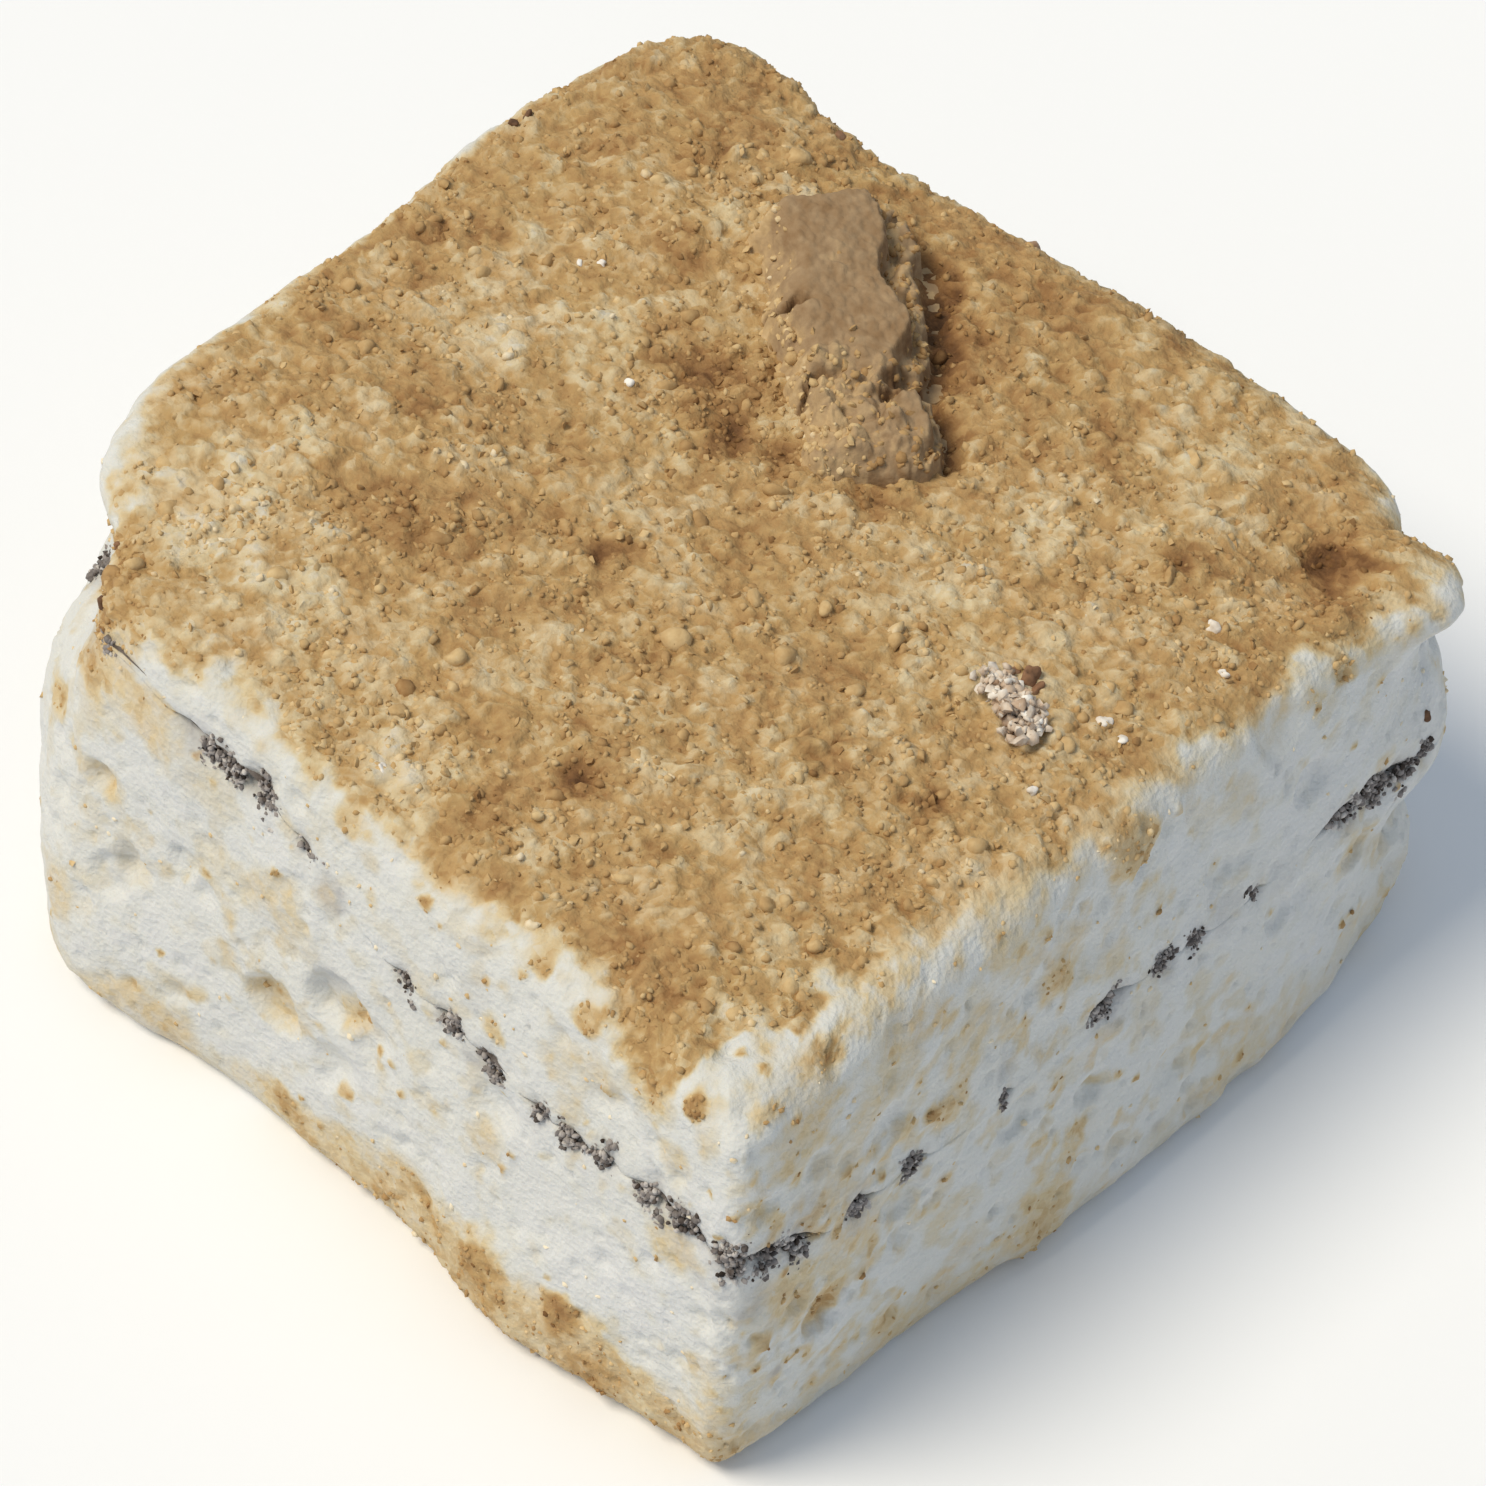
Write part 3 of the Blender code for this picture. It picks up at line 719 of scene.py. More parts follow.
def wall_fields(points, normals):
    """Tone of the crumbs on the walls (0 is bare), grey of the dark crumbs with painted shade in two burst
    bubbles, and relief.
    """
    wobble = 1 + 0.4 * rough_noise(points, 1.3, 130) + 0.22 * rough_noise(points, 0.6, 134, 2)
    rise = seam_rise(points)
    relief = marshmallow_relief(points, 100) * (1 - 0.6 * bell(rise, 0.8))
    stained = side_share("right", normals) * smooth_step((12.0 - points[:, 1]) / 16.0)
    tone = 0.07 + 0.04 * stained + 0.07 * rough_noise(points, 3.6, 131, 2)
    tone += 0.12 * smooth_step(rough_noise(points, 1.3, 137) * 1.7 - 0.15)
    tone += (0.08 + 0.06 * stained) * smooth_step(rough_noise(points, 0.7, 140, 2) * 2.2 - 0.3)

    table = side_profile(TABLE_CRUMBS, points, normals)
    ragged = 1.2 * rough_noise(points, 2.0, 133, 4)
    rim = smooth_step((table - points[:, 2] + ragged) / 2.4 + 0.35)
    rim_tone = side_profile(TABLE_CRUMBS, points, normals, 2)
    tone += rim * (rim_tone + 0.07 * rough_noise(points, 1.4, 135) - tone)

    blotch = 1 + 0.16 * rough_noise(points, 0.8, 136, 2)
    for share, row in wall_spots(WALL_PATCHES, points, normals, wobble, 1.0):
        target = row[3] * blotch
        tone += share * np.clip(target - tone, 0, None)
        relief += share * row[4]
    for share, row in wall_spots(WALL_CRATERS, points, normals, wobble**0.3, 0.5):
        relief -= share * row[3]

    # Single crumbs: a few anywhere, and more where the wall is stained.
    for size, seed, spread in ((1.3, 132, 0.08), (0.8, 139, 0.12)):
        first, _, number = cells(points, size, seed)
        chance = spread * (0.4 + 3.0 * np.clip(tone - 0.12, 0, 0.4))
        speck = (number < chance) * spot_share(first * size, 0.16 + 0.14 * number / spread, 1.0)
        tone += speck * np.clip(0.5 - tone, 0, None)
        relief += 0.08 * speck

    amount = smooth_step((tone - 0.24) / 0.25)
    grains, _ = cobbles(points, 0.6, 138)
    relief += amount * 0.12 * (grains - 0.35)

    cluster = seam_cluster(points[:, 0] + PLAN_MIDDLE[0], points[:, 1] + PLAN_MIDDLE[1])
    relief -= 0.28 * cluster * bell(rise, 0.6)
    dust_and_shade = 0.75 * cluster * bell(rise * (1 + 0.4 * rough_noise(points, 0.8, 171, 2)), 0.8)
    dust_and_shade += 0.10 * bell(rise, 0.35) * smooth_step(rough_noise(points, 1.6, 173, 2))
    # These rows also paint shade into two burst bubbles of the front wall.
    for share, row in wall_spots(GREY_SMUDGES_AND_SHADE, points, normals, wobble, 1.0):
        dust_and_shade = np.maximum(dust_and_shade, share * row[3])
    dust_and_shade *= 0.8 + 0.5 * rough_noise(points, 0.5, 174, 2)
    return np.clip(tone, 0, 1), np.clip(dust_and_shade, 0, 1), relief


def wall_directions(points, normals):
    """Normals, turned level close to the seam so that the two layers stay joined there."""
    turned = normals.copy()
    turned[:, 2] *= smooth_step((np.abs(seam_rise(points)) - 0.1) / 0.7)
    return turned / np.maximum(np.linalg.norm(turned, axis=1, keepdims=True), 0.3)


# ---------------------------------------------------------------- materials


class Tree:
    """Short calls that build one material's nodes. Sizes are in millimetres."""

    def __init__(self, name, sockets):
        self.material = bpy.data.materials.new(name)
        self.material.use_nodes = True
        self.nodes = self.material.node_tree.nodes
        self.shader = self.nodes["Principled BSDF"]
        self.place = self.nodes.new("ShaderNodeTexCoord").outputs["Object"]
        self.fill(self.shader, sockets)

    def fill(self, node, inputs):
        for key, value in inputs.items():
            if isinstance(value, bpy.types.NodeSocket):
                self.material.node_tree.links.new(value, node.inputs[key])
            else:
                node.inputs[key].default_value = value

    def node(self, kind, inputs, output=0, **settings):
        node = self.nodes.new(kind)
        for key, value in settings.items():
            setattr(node, key, value)
        self.fill(node, inputs)
        return node.outputs[output]

    def attribute(self, name):
        return self.node("ShaderNodeAttribute", {}, "Fac", attribute_name=name)

    def math(self, operation, a, b=0.0, c=0.0, clamp=False):
        inputs = {0: a, 1: b, 2: c}
        return self.node("ShaderNodeMath", inputs, operation=operation, use_clamp=clamp)

    def noise(self, size, detail=2.0):
        inputs = {"Vector": self.place, "Scale": 1 / (size * MM), "Detail": detail}
        return self.node("ShaderNodeTexNoise", inputs)

    def grains(self, size, output="Distance"):
        inputs = {"Vector": self.place, "Scale": 1 / (size * MM)}
        return self.node("ShaderNodeTexVoronoi", inputs, output)

    def grain_number(self, size):
        """One number from 0 to 1 for each grain."""
        return self.node("ShaderNodeSeparateColor", {0: self.grains(size, "Color")})

    def ramp(self, factor, stops):
        ramp = self.nodes.new("ShaderNodeValToRGB")
        self.fill(ramp, {0: factor})
        elements = ramp.color_ramp.elements
        while len(elements) < len(stops):
            elements.new(0.5)
        for element, (position, colour) in zip(elements, stops):
            element.position = position
            element.color = (*colour, 1.0)
        return ramp.outputs[0]

    def mix(self, factor, a, b, blend="MIX"):
        inputs = {0: factor, 6: a, 7: b}
        return self.node("ShaderNodeMix", inputs, 2, data_type="RGBA", blend_type=blend)

    def bump(self, height, depth, strength=1.0):
        inputs = {"Height": height, "Distance": depth * MM, "Strength": strength}
        self.fill(self.shader, {"Normal": self.node("ShaderNodeBump", inputs)})


# From bare marshmallow through pale and golden crumbs to scorched ones. The coat's tone is also raised for
# painted shade in creases, pockets and the crevice.
CRUMB_TONES = (
    (0.0, (0.64, 0.65, 0.665)),
    (0.14, (0.63, 0.635, 0.615)),
    (0.23, (0.60, 0.58, 0.50)),
    (0.34, (0.60, 0.515, 0.335)),
    (0.50, (0.45, 0.307, 0.137)),
    (0.66, (0.31, 0.18, 0.072)),
    (0.82, (0.17, 0.085, 0.033)),
    (1.0, (0.06, 0.03, 0.013)),
)
# Grey of the dark crumbs' dust, also used as painted shade in two burst bubbles.
DARK_DUST_AND_SHADE = (0.34, 0.33, 0.335, 1.0)
ROSY = (1.0, 0.925, 0.93, 1.0)
PLAIN = (1.0, 1.0, 1.0, 1.0)


def crumbed_material(name):
    """Marshmallow, bare where the tone is 0, with biscuit crumbs stuck to it elsewhere."""
    tree = Tree(
        name,
        {
            "Roughness": 0.8,
            "Subsurface Weight": 0.12,
            "Subsurface Radius": (1.0, 0.8, 0.6),
            "Subsurface Scale": 0.5 * MM,
            "Specular IOR Level": 0.25,
        },
    )
    tone = tree.attribute("tone")
    amount = tree.math("MULTIPLY", tree.math("SUBTRACT", tone, 0.12), 5.0, clamp=True)
    speckle = tree.math("SUBTRACT", tree.grain_number(0.42), 0.5)
    mottle = tree.math("SUBTRACT", tree.noise(0.5, 3.0), 0.5)
    change = tree.math("MULTIPLY_ADD", speckle, 0.09, tree.math("MULTIPLY", mottle, 0.20))
    shifted = tree.math("MULTIPLY_ADD", change, amount, tone)
    colour = tree.ramp(shifted, CRUMB_TONES)
    rosy = tree.mix(tree.math("MULTIPLY", tree.noise(2.6), amount), PLAIN, ROSY)
    colour = tree.mix(1.0, colour, rosy, "MULTIPLY")
    # Mixes in the grey dust and the painted shade of two burst bubbles.
    colour = tree.mix(tree.attribute("dust_and_shade"), colour, DARK_DUST_AND_SHADE)
    tree.fill(tree.shader, {"Base Color": colour})
    fine = tree.math("ADD", tree.noise(0.16, 3.0), tree.math("MULTIPLY", tree.grains(0.3), 0.8))
    tree.bump(fine, 0.09, 0.7)
    return tree.material


def crumb_material(name, stops, size, depth):
    """Loose crumbs. Each takes its place on the ramp from its own tint."""
    tree = Tree(name, {"Roughness": 0.88, "Specular IOR Level": 0.2})
    mottle = tree.math("MULTIPLY", tree.math("SUBTRACT", tree.noise(size, 3.0), 0.5), 0.5)
    colour = tree.ramp(tree.math("ADD", tree.attribute("tint"), mottle), stops)
    tree.fill(tree.shader, {"Base Color": colour})
    tree.bump(tree.noise(size * 0.6, 3.0), depth, 0.8)
    return tree.material


COOKIE_TONES = (
    (0.0, (0.015, 0.011, 0.009)),
    (0.3, (0.06, 0.045, 0.038)),
    (0.55, (0.19, 0.17, 0.165)),
    (0.85, (0.36, 0.33, 0.32)),
    (1.0, (0.55, 0.52, 0.50)),
)
BISCUIT_TONES = (
    (0.0, (0.11, 0.055, 0.025)),
    (0.3, (0.25, 0.155, 0.08)),
    (0.5, (0.335, 0.23, 0.135)),
    (0.75, (0.52, 0.37, 0.20)),
    (1.0, (0.72, 0.58, 0.38)),
)
GOLDEN_TONES = (
    (0.0, (0.16, 0.08, 0.03)),
    (0.25, (0.33, 0.19, 0.08)),
    (0.5, (0.47, 0.31, 0.145)),
    (0.75, (0.62, 0.46, 0.25)),
    (1.0, (0.78, 0.70, 0.55)),
)


# ---------------------------------------------------------------- the blocks


def block(name, low, high, low_edge, high_edge, levels, fine_top):
    cube, faces = cube_lattice(BLOCK_SIDE, BLOCK_SIDE, levels, fine_top)
    points, down = block_points(cube, low, high, low_edge, high_edge)
    mesh = new_mesh(name, points, faces)
    normals = point_normals(mesh)
    # The rim in the seam faces the way that the wall beside it does, in both blocks alike.
    columns = 4 * BLOCK_SIDE
    rim, step = (0, 1) if fine_top else (levels - 1, -1)
    rim = (len(HIDDEN_CAP_ROWS) + rim) * columns
    beside = rim + step * columns
    normals[rim : rim + columns] = normals[beside : beside + columns]
    return mesh, points, normals, down


def lower_marshmallow(material):
    mesh, points, normals, _ = block(
        "lower_marshmallow",
        table_height,
        seam_side(-1),
        offset_surface(table_height, TABLE_EDGE),
        seam_edge,
        LOWER_LEVELS,
        False,
    )
    tone, dust_and_shade, relief = wall_fields(points, normals)
    off_table = smooth_step(points[:, 2] / 0.8)
    push = (relief - WALL_INSET) * off_table
    moved = points + wall_directions(points, normals) * push[:, None]
    add_piece(
        mesh, moved, material, {"tone": tone, "dust_and_shade": dust_and_shade}, ["lower_layer"]
    )
    return moved, normals, tone


def thin_coat(points):
    """How thin and patchy the coat is, from 0 to 1: it thins out at the near corner."""
    x, y, reach = THIN_COAT
    return bell(np.hypot(points[:, 0] - x, points[:, 1] - y), reach)


def coat_cover(points, normals, down):
    """Where crumbs coat the marshmallow: 1 on the top, 0 below a ragged edge."""
    edge = side_profile(COAT_EDGE, points, normals)
    patchy = 0.8 + 2.2 * thin_coat(points)
    ragged = patchy * rough_noise(points, 1.9, 41) + 0.5 * rough_noise(points, 0.6, 47, 2)
    return smooth_step((edge - down + ragged) / 1.5 + 0.5), edge


def top_tone(points):
    """Tone of the coat: clumps and grains of different browns, and its large patches."""
    _, clump = cobbles(points, 1.2, 51)
    _, grain = cobbles(points, 0.55, 52)
    tone = 0.475 + 0.035 * rough_noise(points, 6.0, 53, 2) + 0.05 * rough_noise(points, 1.6, 55)
    tone = tone + 0.09 * (clump - 0.5) + 0.10 * (grain - 0.5)
    wobble = 1 + 0.5 * rough_noise(points, 1.1, 58)
    for x, y, reach, change in TOP_PATCHES:
        distance = np.hypot(points[:, 0] - x, points[:, 1] - y)
        tone += 0.8 * change * spot_share(distance * wobble, reach, 1.3)
    return np.maximum(tone, COAT_PALEST)


def crevice(points):
    """How near each point is to the crevice beside the lump, from 0 to 1."""
    distance = np.full(len(points), 99.0)
    for start, stop in itertools.pairwise(np.array(CREVICE)):
        run = stop - start
        along = np.clip((points[:, :2] - start) @ run / (run @ run), 0, 1)
        gap = points[:, :2] - start - along[:, None] * run
        distance = np.minimum(distance, np.linalg.norm(gap, axis=1))
    ragged = 1 + 0.6 * rough_noise(points, 1.0, 143)
    return bell(distance * ragged, CREVICE_REACH)


def upper_marshmallow(material):
    mesh, points, normals, down = block(
        "upper_marshmallow",
        seam_side(1),
        top_height,
        seam_edge,
        offset_surface(table_height, TOP_EDGE),
        UPPER_LEVELS,
        True,
    )
    tone, dust_and_shade, relief = wall_fields(points, normals)
    cover, edge = coat_cover(points, outward(points), down)
    dusting = 0.32 * np.exp(-np.clip(down - edge, 0, None) / (2.4 + 4 * thin_coat(points)))
    dusting *= 0.8 + 0.7 * rough_noise(points, 0.8, 61)
    above_seam = smooth_step(seam_rise(points) / 1.4)
    dusting *= above_seam
    cover *= above_seam
    tone = np.maximum(tone, dusting)
    tone = tone + cover * (top_tone(points) - tone)

    coat = 0.10 + crumb_relief(points, 63)
    ragged = 1 + 0.6 * rough_noise(points, 0.8, 62)
    for x, y, reach, depth in TOP_POCKETS:
        hollow = bell(np.hypot(points[:, 0] - x, points[:, 1] - y) * ragged, reach)
        coat -= depth * hollow
        # Painted shade in the pocket.
        tone += 0.10 * hollow * cover
    cleft = crevice(points)
    coat -= CREVICE_DEPTH * cleft
    # Painted shade in the crevice.
    tone += 0.20 * cleft
    # Painted shade and light: the coat is darker in its low creases and hollows and paler on its raised
    # clumps.
    tone -= cover * 0.30 * np.clip(coat, -0.35, 0.25)
    push = relief * (1 - 0.7 * cover) + cover * coat - WALL_INSET
    moved = points + wall_directions(points, normals) * push[:, None]
    dust_and_shade = dust_and_shade * (1 - cover)
    add_piece(
        mesh,
        moved,
        material,
        {"tone": tone, "dust_and_shade": dust_and_shade},
        ["upper_layer"],
    )
    return moved, normals, tone, cover


def outward(points):
    """Level directions from the middle of the plan through each point."""
    flat = np.zeros_like(points)
    square = points[:, :2] / (HALF_X, HALF_Y)
    steep = np.sign(square) * np.abs(square) ** 12
    flat[:, :2] = steep / np.maximum(np.linalg.norm(steep, axis=1, keepdims=True), 1e-12)
    return flat


# ---------------------------------------------------------------- crumbs


# Loose crumbs of the coat: how many, their least and greatest radius, how far their middles
# sink in (least and most, in radii), and how finely each is divided.
GOLDEN_CRUMBS = (
    (7200, 0.08, 0.20, (0.2, 0.7), 1),
    (260, 0.22, 0.38, (0.3, 0.7), 2),
)


def random_turns(rng, count):
    """Rotation matrices that turn every way."""
    q = rng.normal(size=(count, 4))
    w, x, y, z = (q / np.linalg.norm(q, axis=1, keepdims=True)).T
    rows = [
        [1 - 2 * (y * y + z * z), 2 * (x * y - z * w), 2 * (x * z + y * w)],
        [2 * (x * y + z * w), 1 - 2 * (x * x + z * z), 2 * (y * z - x * w)],
        [2 * (x * z - y * w), 2 * (y * z + x * w), 1 - 2 * (x * x + y * y)],
    ]
    return np.transpose(np.array(rows), (2, 0, 1))


def ball(detail):
    """Points and triangles of a ball of radius 1."""
    mesh = bmesh.new()
    bmesh.ops.create_icosphere(mesh, subdivisions=detail, radius=1.0)
    points = np.array([vert.co for vert in mesh.verts])
    faces = np.array([[vert.index for vert in face.verts] for face in mesh.faces])
    mesh.free()
    return points, faces


def crumbs(rng, centres, radii, tints, detail, roughness=0.6):
    """Uneven crumbs as one set of points, triangles and tints."""
    shape, triangles = ball(detail)
    count, corners = len(centres), len(shape)
    stretch = rng.uniform(0.6, 1.3, size=(count, 1, 3))
    seats = shape[None] + rng.uniform(0, 90, size=(count, 1, 3))
    lumps = 1 + roughness * soft_noise(seats.reshape(-1, 3), 0.9, 81).reshape(count, corners, 1)
    bodies = shape[None] * stretch * lumps * radii[:, None, None]
    turned = np.einsum("cij,cvj->cvi", random_turns(rng, count), bodies)
    points = (turned + centres[:, None]).reshape(-1, 3)
    faces = (triangles[None] + corners * np.arange(count)[:, None, None]).reshape(-1, 3)
    return points, faces, np.repeat(tints, corners)


def add_crumbs(name, sets, material, replaced=()):
    """Joins sets of crumbs into one piece."""
    points, faces, tints, count = [], [], [], 0
    for some_points, some_faces, some_tints in sets:
        points.append(some_points)
        faces.append(some_faces + count)
        tints.append(some_tints)
        count += len(some_points)
    points = np.concatenate(points)
    faces = [face for group in faces for face in group.tolist()]
    mesh = new_mesh(name, points, faces)
    mesh.shade_flat()
    tints = np.concatenate(tints)
    return add_piece(mesh, points, material, {"tint": tints}, replaced)


def picks(rng, weights, count):
    return rng.choice(len(weights), size=count, replace=False, p=weights / weights.sum())


def lump_crumbs(rng, lump):
    """Crumbs on the broken parts of the lump, yellow on its sloping side and darker on its steep right side,
    where shade is painted.
    """
    points, normals, weights, tints = lump
    some = picks(rng, weights, 520)
    radii = rng.uniform(0.09, 0.22, len(some))
    lift = rng.uniform(-0.7, -0.2, len(some)) * radii
    centres = points[some] + normals[some] * lift[:, None]
    return crumbs(rng, centres, radii, tints[some] + rng.normal(0, 0.08, len(some)), 1)


def golden_crumbs(rng, surface, lump, material):
    """Loose golden crumbs all over the coat, thicker where it is darker and by the lump."""
    points, normals, tone, cover = surface
    clumped = 0.4 + smooth_step(0.5 + rough_noise(points, 2.4, 91))
    by_lump = bell(np.hypot(points[:, 0] + 4.5, points[:, 1] - 5.5), 4.5)
    weights = cover**3 * (clumped + 1.5 * by_lump)
    sets = [lump_crumbs(rng, lump)]
    for count, small, large, sunk, fineness in GOLDEN_CRUMBS:
        chosen = picks(rng, weights, count)
        radii = rng.uniform(small, large, count)
        lift = -rng.uniform(*sunk, count) * radii
        centres = points[chosen] + normals[chosen] * lift[:, None]
        # The tints follow the coat's tone, painted shade in its creases, pockets and crevice included.
        tints = 0.52 - 1.3 * (tone[chosen] - 0.48) + rng.normal(0, 0.09, count)
        sets.append(crumbs(rng, centres, radii, tints, fineness))
    add_crumbs("golden_crumbs", sets, material)


def wall_crumbs(rng, surfaces, material):
    """Crumbs stuck to the walls, where they are stained."""
    sets = []
    for points, normals, tone, bare in surfaces:
        weights = np.clip(tone - 0.28, 0, 0.5) ** 1.2 * bare + 0.003 * bare
        some = picks(rng, weights, 800)
        radii = rng.uniform(0.06, 0.15, len(some))
        lift = rng.uniform(-0.7, -0.1, len(some)) * radii
        centres = points[some] + normals[some] * lift[:, None]
        tints = 0.62 - 1.4 * (tone[some] - 0.35) + rng.normal(0, 0.14, len(some))
        sets.append(crumbs(rng, centres, radii, tints, 1))
    add_crumbs("wall_crumbs", sets, material)


SHEET_INSET = 1.1  # of the filling's sheet from the walls


def side_point(side, place, z):
    """(u, v) on the square's edge for a place along a side, and the outline there at z."""
    axis, across, sign = SIDES[side]
    half = (HALF_X, HALF_Y)
    pair = np.zeros((len(z), 2))
    pair[:, axis] = np.clip(place / half[axis], -1, 1)
    pair[:, across] = sign
    x, y = plan_edge(pair[:, 0], pair[:, 1], z)
    return x - PLAN_MIDDLE[0], y - PLAN_MIDDLE[1]


def cluster_crumbs(rng, side, place, reach):
    """The dark and sugared crumbs of one cluster in the seam, in a few small clumps."""
    _, across, sign = SIDES[side]
    clumps = rng.normal(0, (0.55 * reach, 0.12 + 0.42 * reach), (2 + int(5 * reach), 2))
    count = int(36 + 150 * reach**1.4)
    spread = rng.normal(0, 0.16 + 0.08 * reach, (count, 2)) + clumps[rng.integers(len(clumps), size=count)]
    along = place + spread[:, 0]
    wall_x, wall_y = side_point(side, along, np.full(count, SEAM_HEIGHT))
    z = seam_height(wall_x + PLAN_MIDDLE[0], wall_y + PLAN_MIDDLE[1]) + spread[:, 1]
    wall_x, wall_y = side_point(side, along, z)
    centres = np.stack([wall_x, wall_y, z], axis=1)
    centres[:, across] -= sign * rng.uniform(0.22, 0.5, count)
    radii = rng.uniform(0.05, 0.15, count)
    tints = np.clip(rng.normal(0.64, 0.22, count), 0, 1)
    return crumbs(rng, centres, radii, tints, 1, 0.5)


def cookie_crumb_filling(rng, material):
    """The filling's thin sheet, kept inside the walls, and its clusters of crumbs."""
    cube, faces = cube_lattice(120, 120, 7, False)
    edge = offset_surface(table_height, 0.35)
    points, _ = block_points(
        cube, offset_surface(seam_height, -0.4), offset_surface(seam_height, 0.4), edge, edge
    )
    mesh = new_mesh("sheet", points, faces)
    normals = point_normals(mesh)
    bpy.data.meshes.remove(mesh)
    relief = 0.2 * (cobbles(points, 0.7, 95)[0] - 0.5) - SHEET_INSET
    level = normals.copy()
    level[:, 2] = 0
    points = points + level * relief[:, None]
    triangles = []
    for face in faces:
        triangles += [face[:3], (face[0], *face[2:])] if len(face) == 4 else [face]
    sets = [(points, np.array(triangles), np.full(len(points), 0.45))]
    for side, clusters in SEAM_CLUSTERS.items():
        sets += [cluster_crumbs(rng, side, *cluster) for cluster in clusters]
    add_crumbs("cookie_crumb_filling", sets, material, ["crumb_filling"])


# Single crumbs that stand out on the coat: x, y, radius, and tint, from 0 dark to 1 white.
STRAY_CRUMBS = (
    (12.5, 2.2, 0.38, 0.24),
    (11.9, 2.0, 0.30, 0.28), (13.1, 2.0, 0.26, 0.28), (15.5, 3.0, 0.24, 0.9),
    (16.5, 2.8, 0.20, 0.9), (15.3, 9.4, 0.26, 0.9), (17.0, 8.0, 0.20, 0.9),
    (16.0, -1.5, 0.20, 0.85), (-12.6, 6.1, 0.18, 1.0), (-13.3, 5.6, 0.15, 1.0),
    (-7.5, 2.2, 0.17, 1.0), (-0.8, -17.6, 0.2, 0.95), (-20.6, 9.5, 0.26, 0.1),
    (-20.5, 10.3, 0.22, 0.1), (-14.3, -18.7, 0.24, 0.15), (20.2, 17.5, 0.22, 0.1),
    (-2.8, 20.0, 0.30, 0.45), (-11.5, 18.3, 0.24, 0.3), (-15.8, -16.6, 0.22, 0.25),
)
STRAY_TONES = (
    (0.0, (0.05, 0.03, 0.02)),
    (0.3, (0.26, 0.14, 0.08)),
    (0.6, (0.50, 0.37, 0.27)),
    (0.8, (0.68, 0.60, 0.52)),
    (1.0, (0.84, 0.82, 0.79)),
)


# The pale bit of biscuit: its two ends, its reach across, and its tint.
PALE_BIT = ((12.0, 1.1), (14.2, 0.3), 0.34, 0.75)


def stray_crumbs(rng, surface, material):
    """The few crumbs of another colour that lie on the coat."""
    points, normals, _, _ = surface
    rows = np.array(STRAY_CRUMBS)
    high = np.flatnonzero(normals[:, 2] > 0.3)
    away = np.hypot(
        points[high, 0, None] - rows[:, 0], points[high, 1, None] - rows[:, 1]
    )
    seats = high[np.argmin(away, axis=0)]
    centres = points[seats] - 0.1 * rows[:, 2, None] * normals[seats]
    sets = [crumbs(rng, centres, rows[:, 2], rows[:, 3], 3, 0.7)]
    start, stop, reach, tint = PALE_BIT
    share = rng.uniform(0, 1, (420, 1))
    centres = np.zeros((420, 3))
    centres[:, :2] = np.array(start) * (1 - share) + np.array(stop) * share
    centres[:, 2] = top_height(centres[:, 0], centres[:, 1]) + 0.25
    centres += rng.normal(0, 1, (420, 3)) * (reach, reach, 0.6 * reach)
    radii = rng.uniform(0.08, 0.24, 420)
    sets.append(crumbs(rng, centres, radii, rng.normal(tint, 0.09, 420), 1, 0.9))
    add_crumbs("stray_crumbs", sets, material)


# Cracks in the lump: where u is at v = 0, slope, the run of v from start to stop, width.
LUMP_CRACKS = (
    (-0.10, 0.22, -0.9, -0.2, 0.14),
    (0.20, -0.30, -1.0, -0.1, 0.22),
    (0.42, -0.10, 0.1, 1.0, 0.45),
)
LUMP_CRACK_DEPTH = 0.28


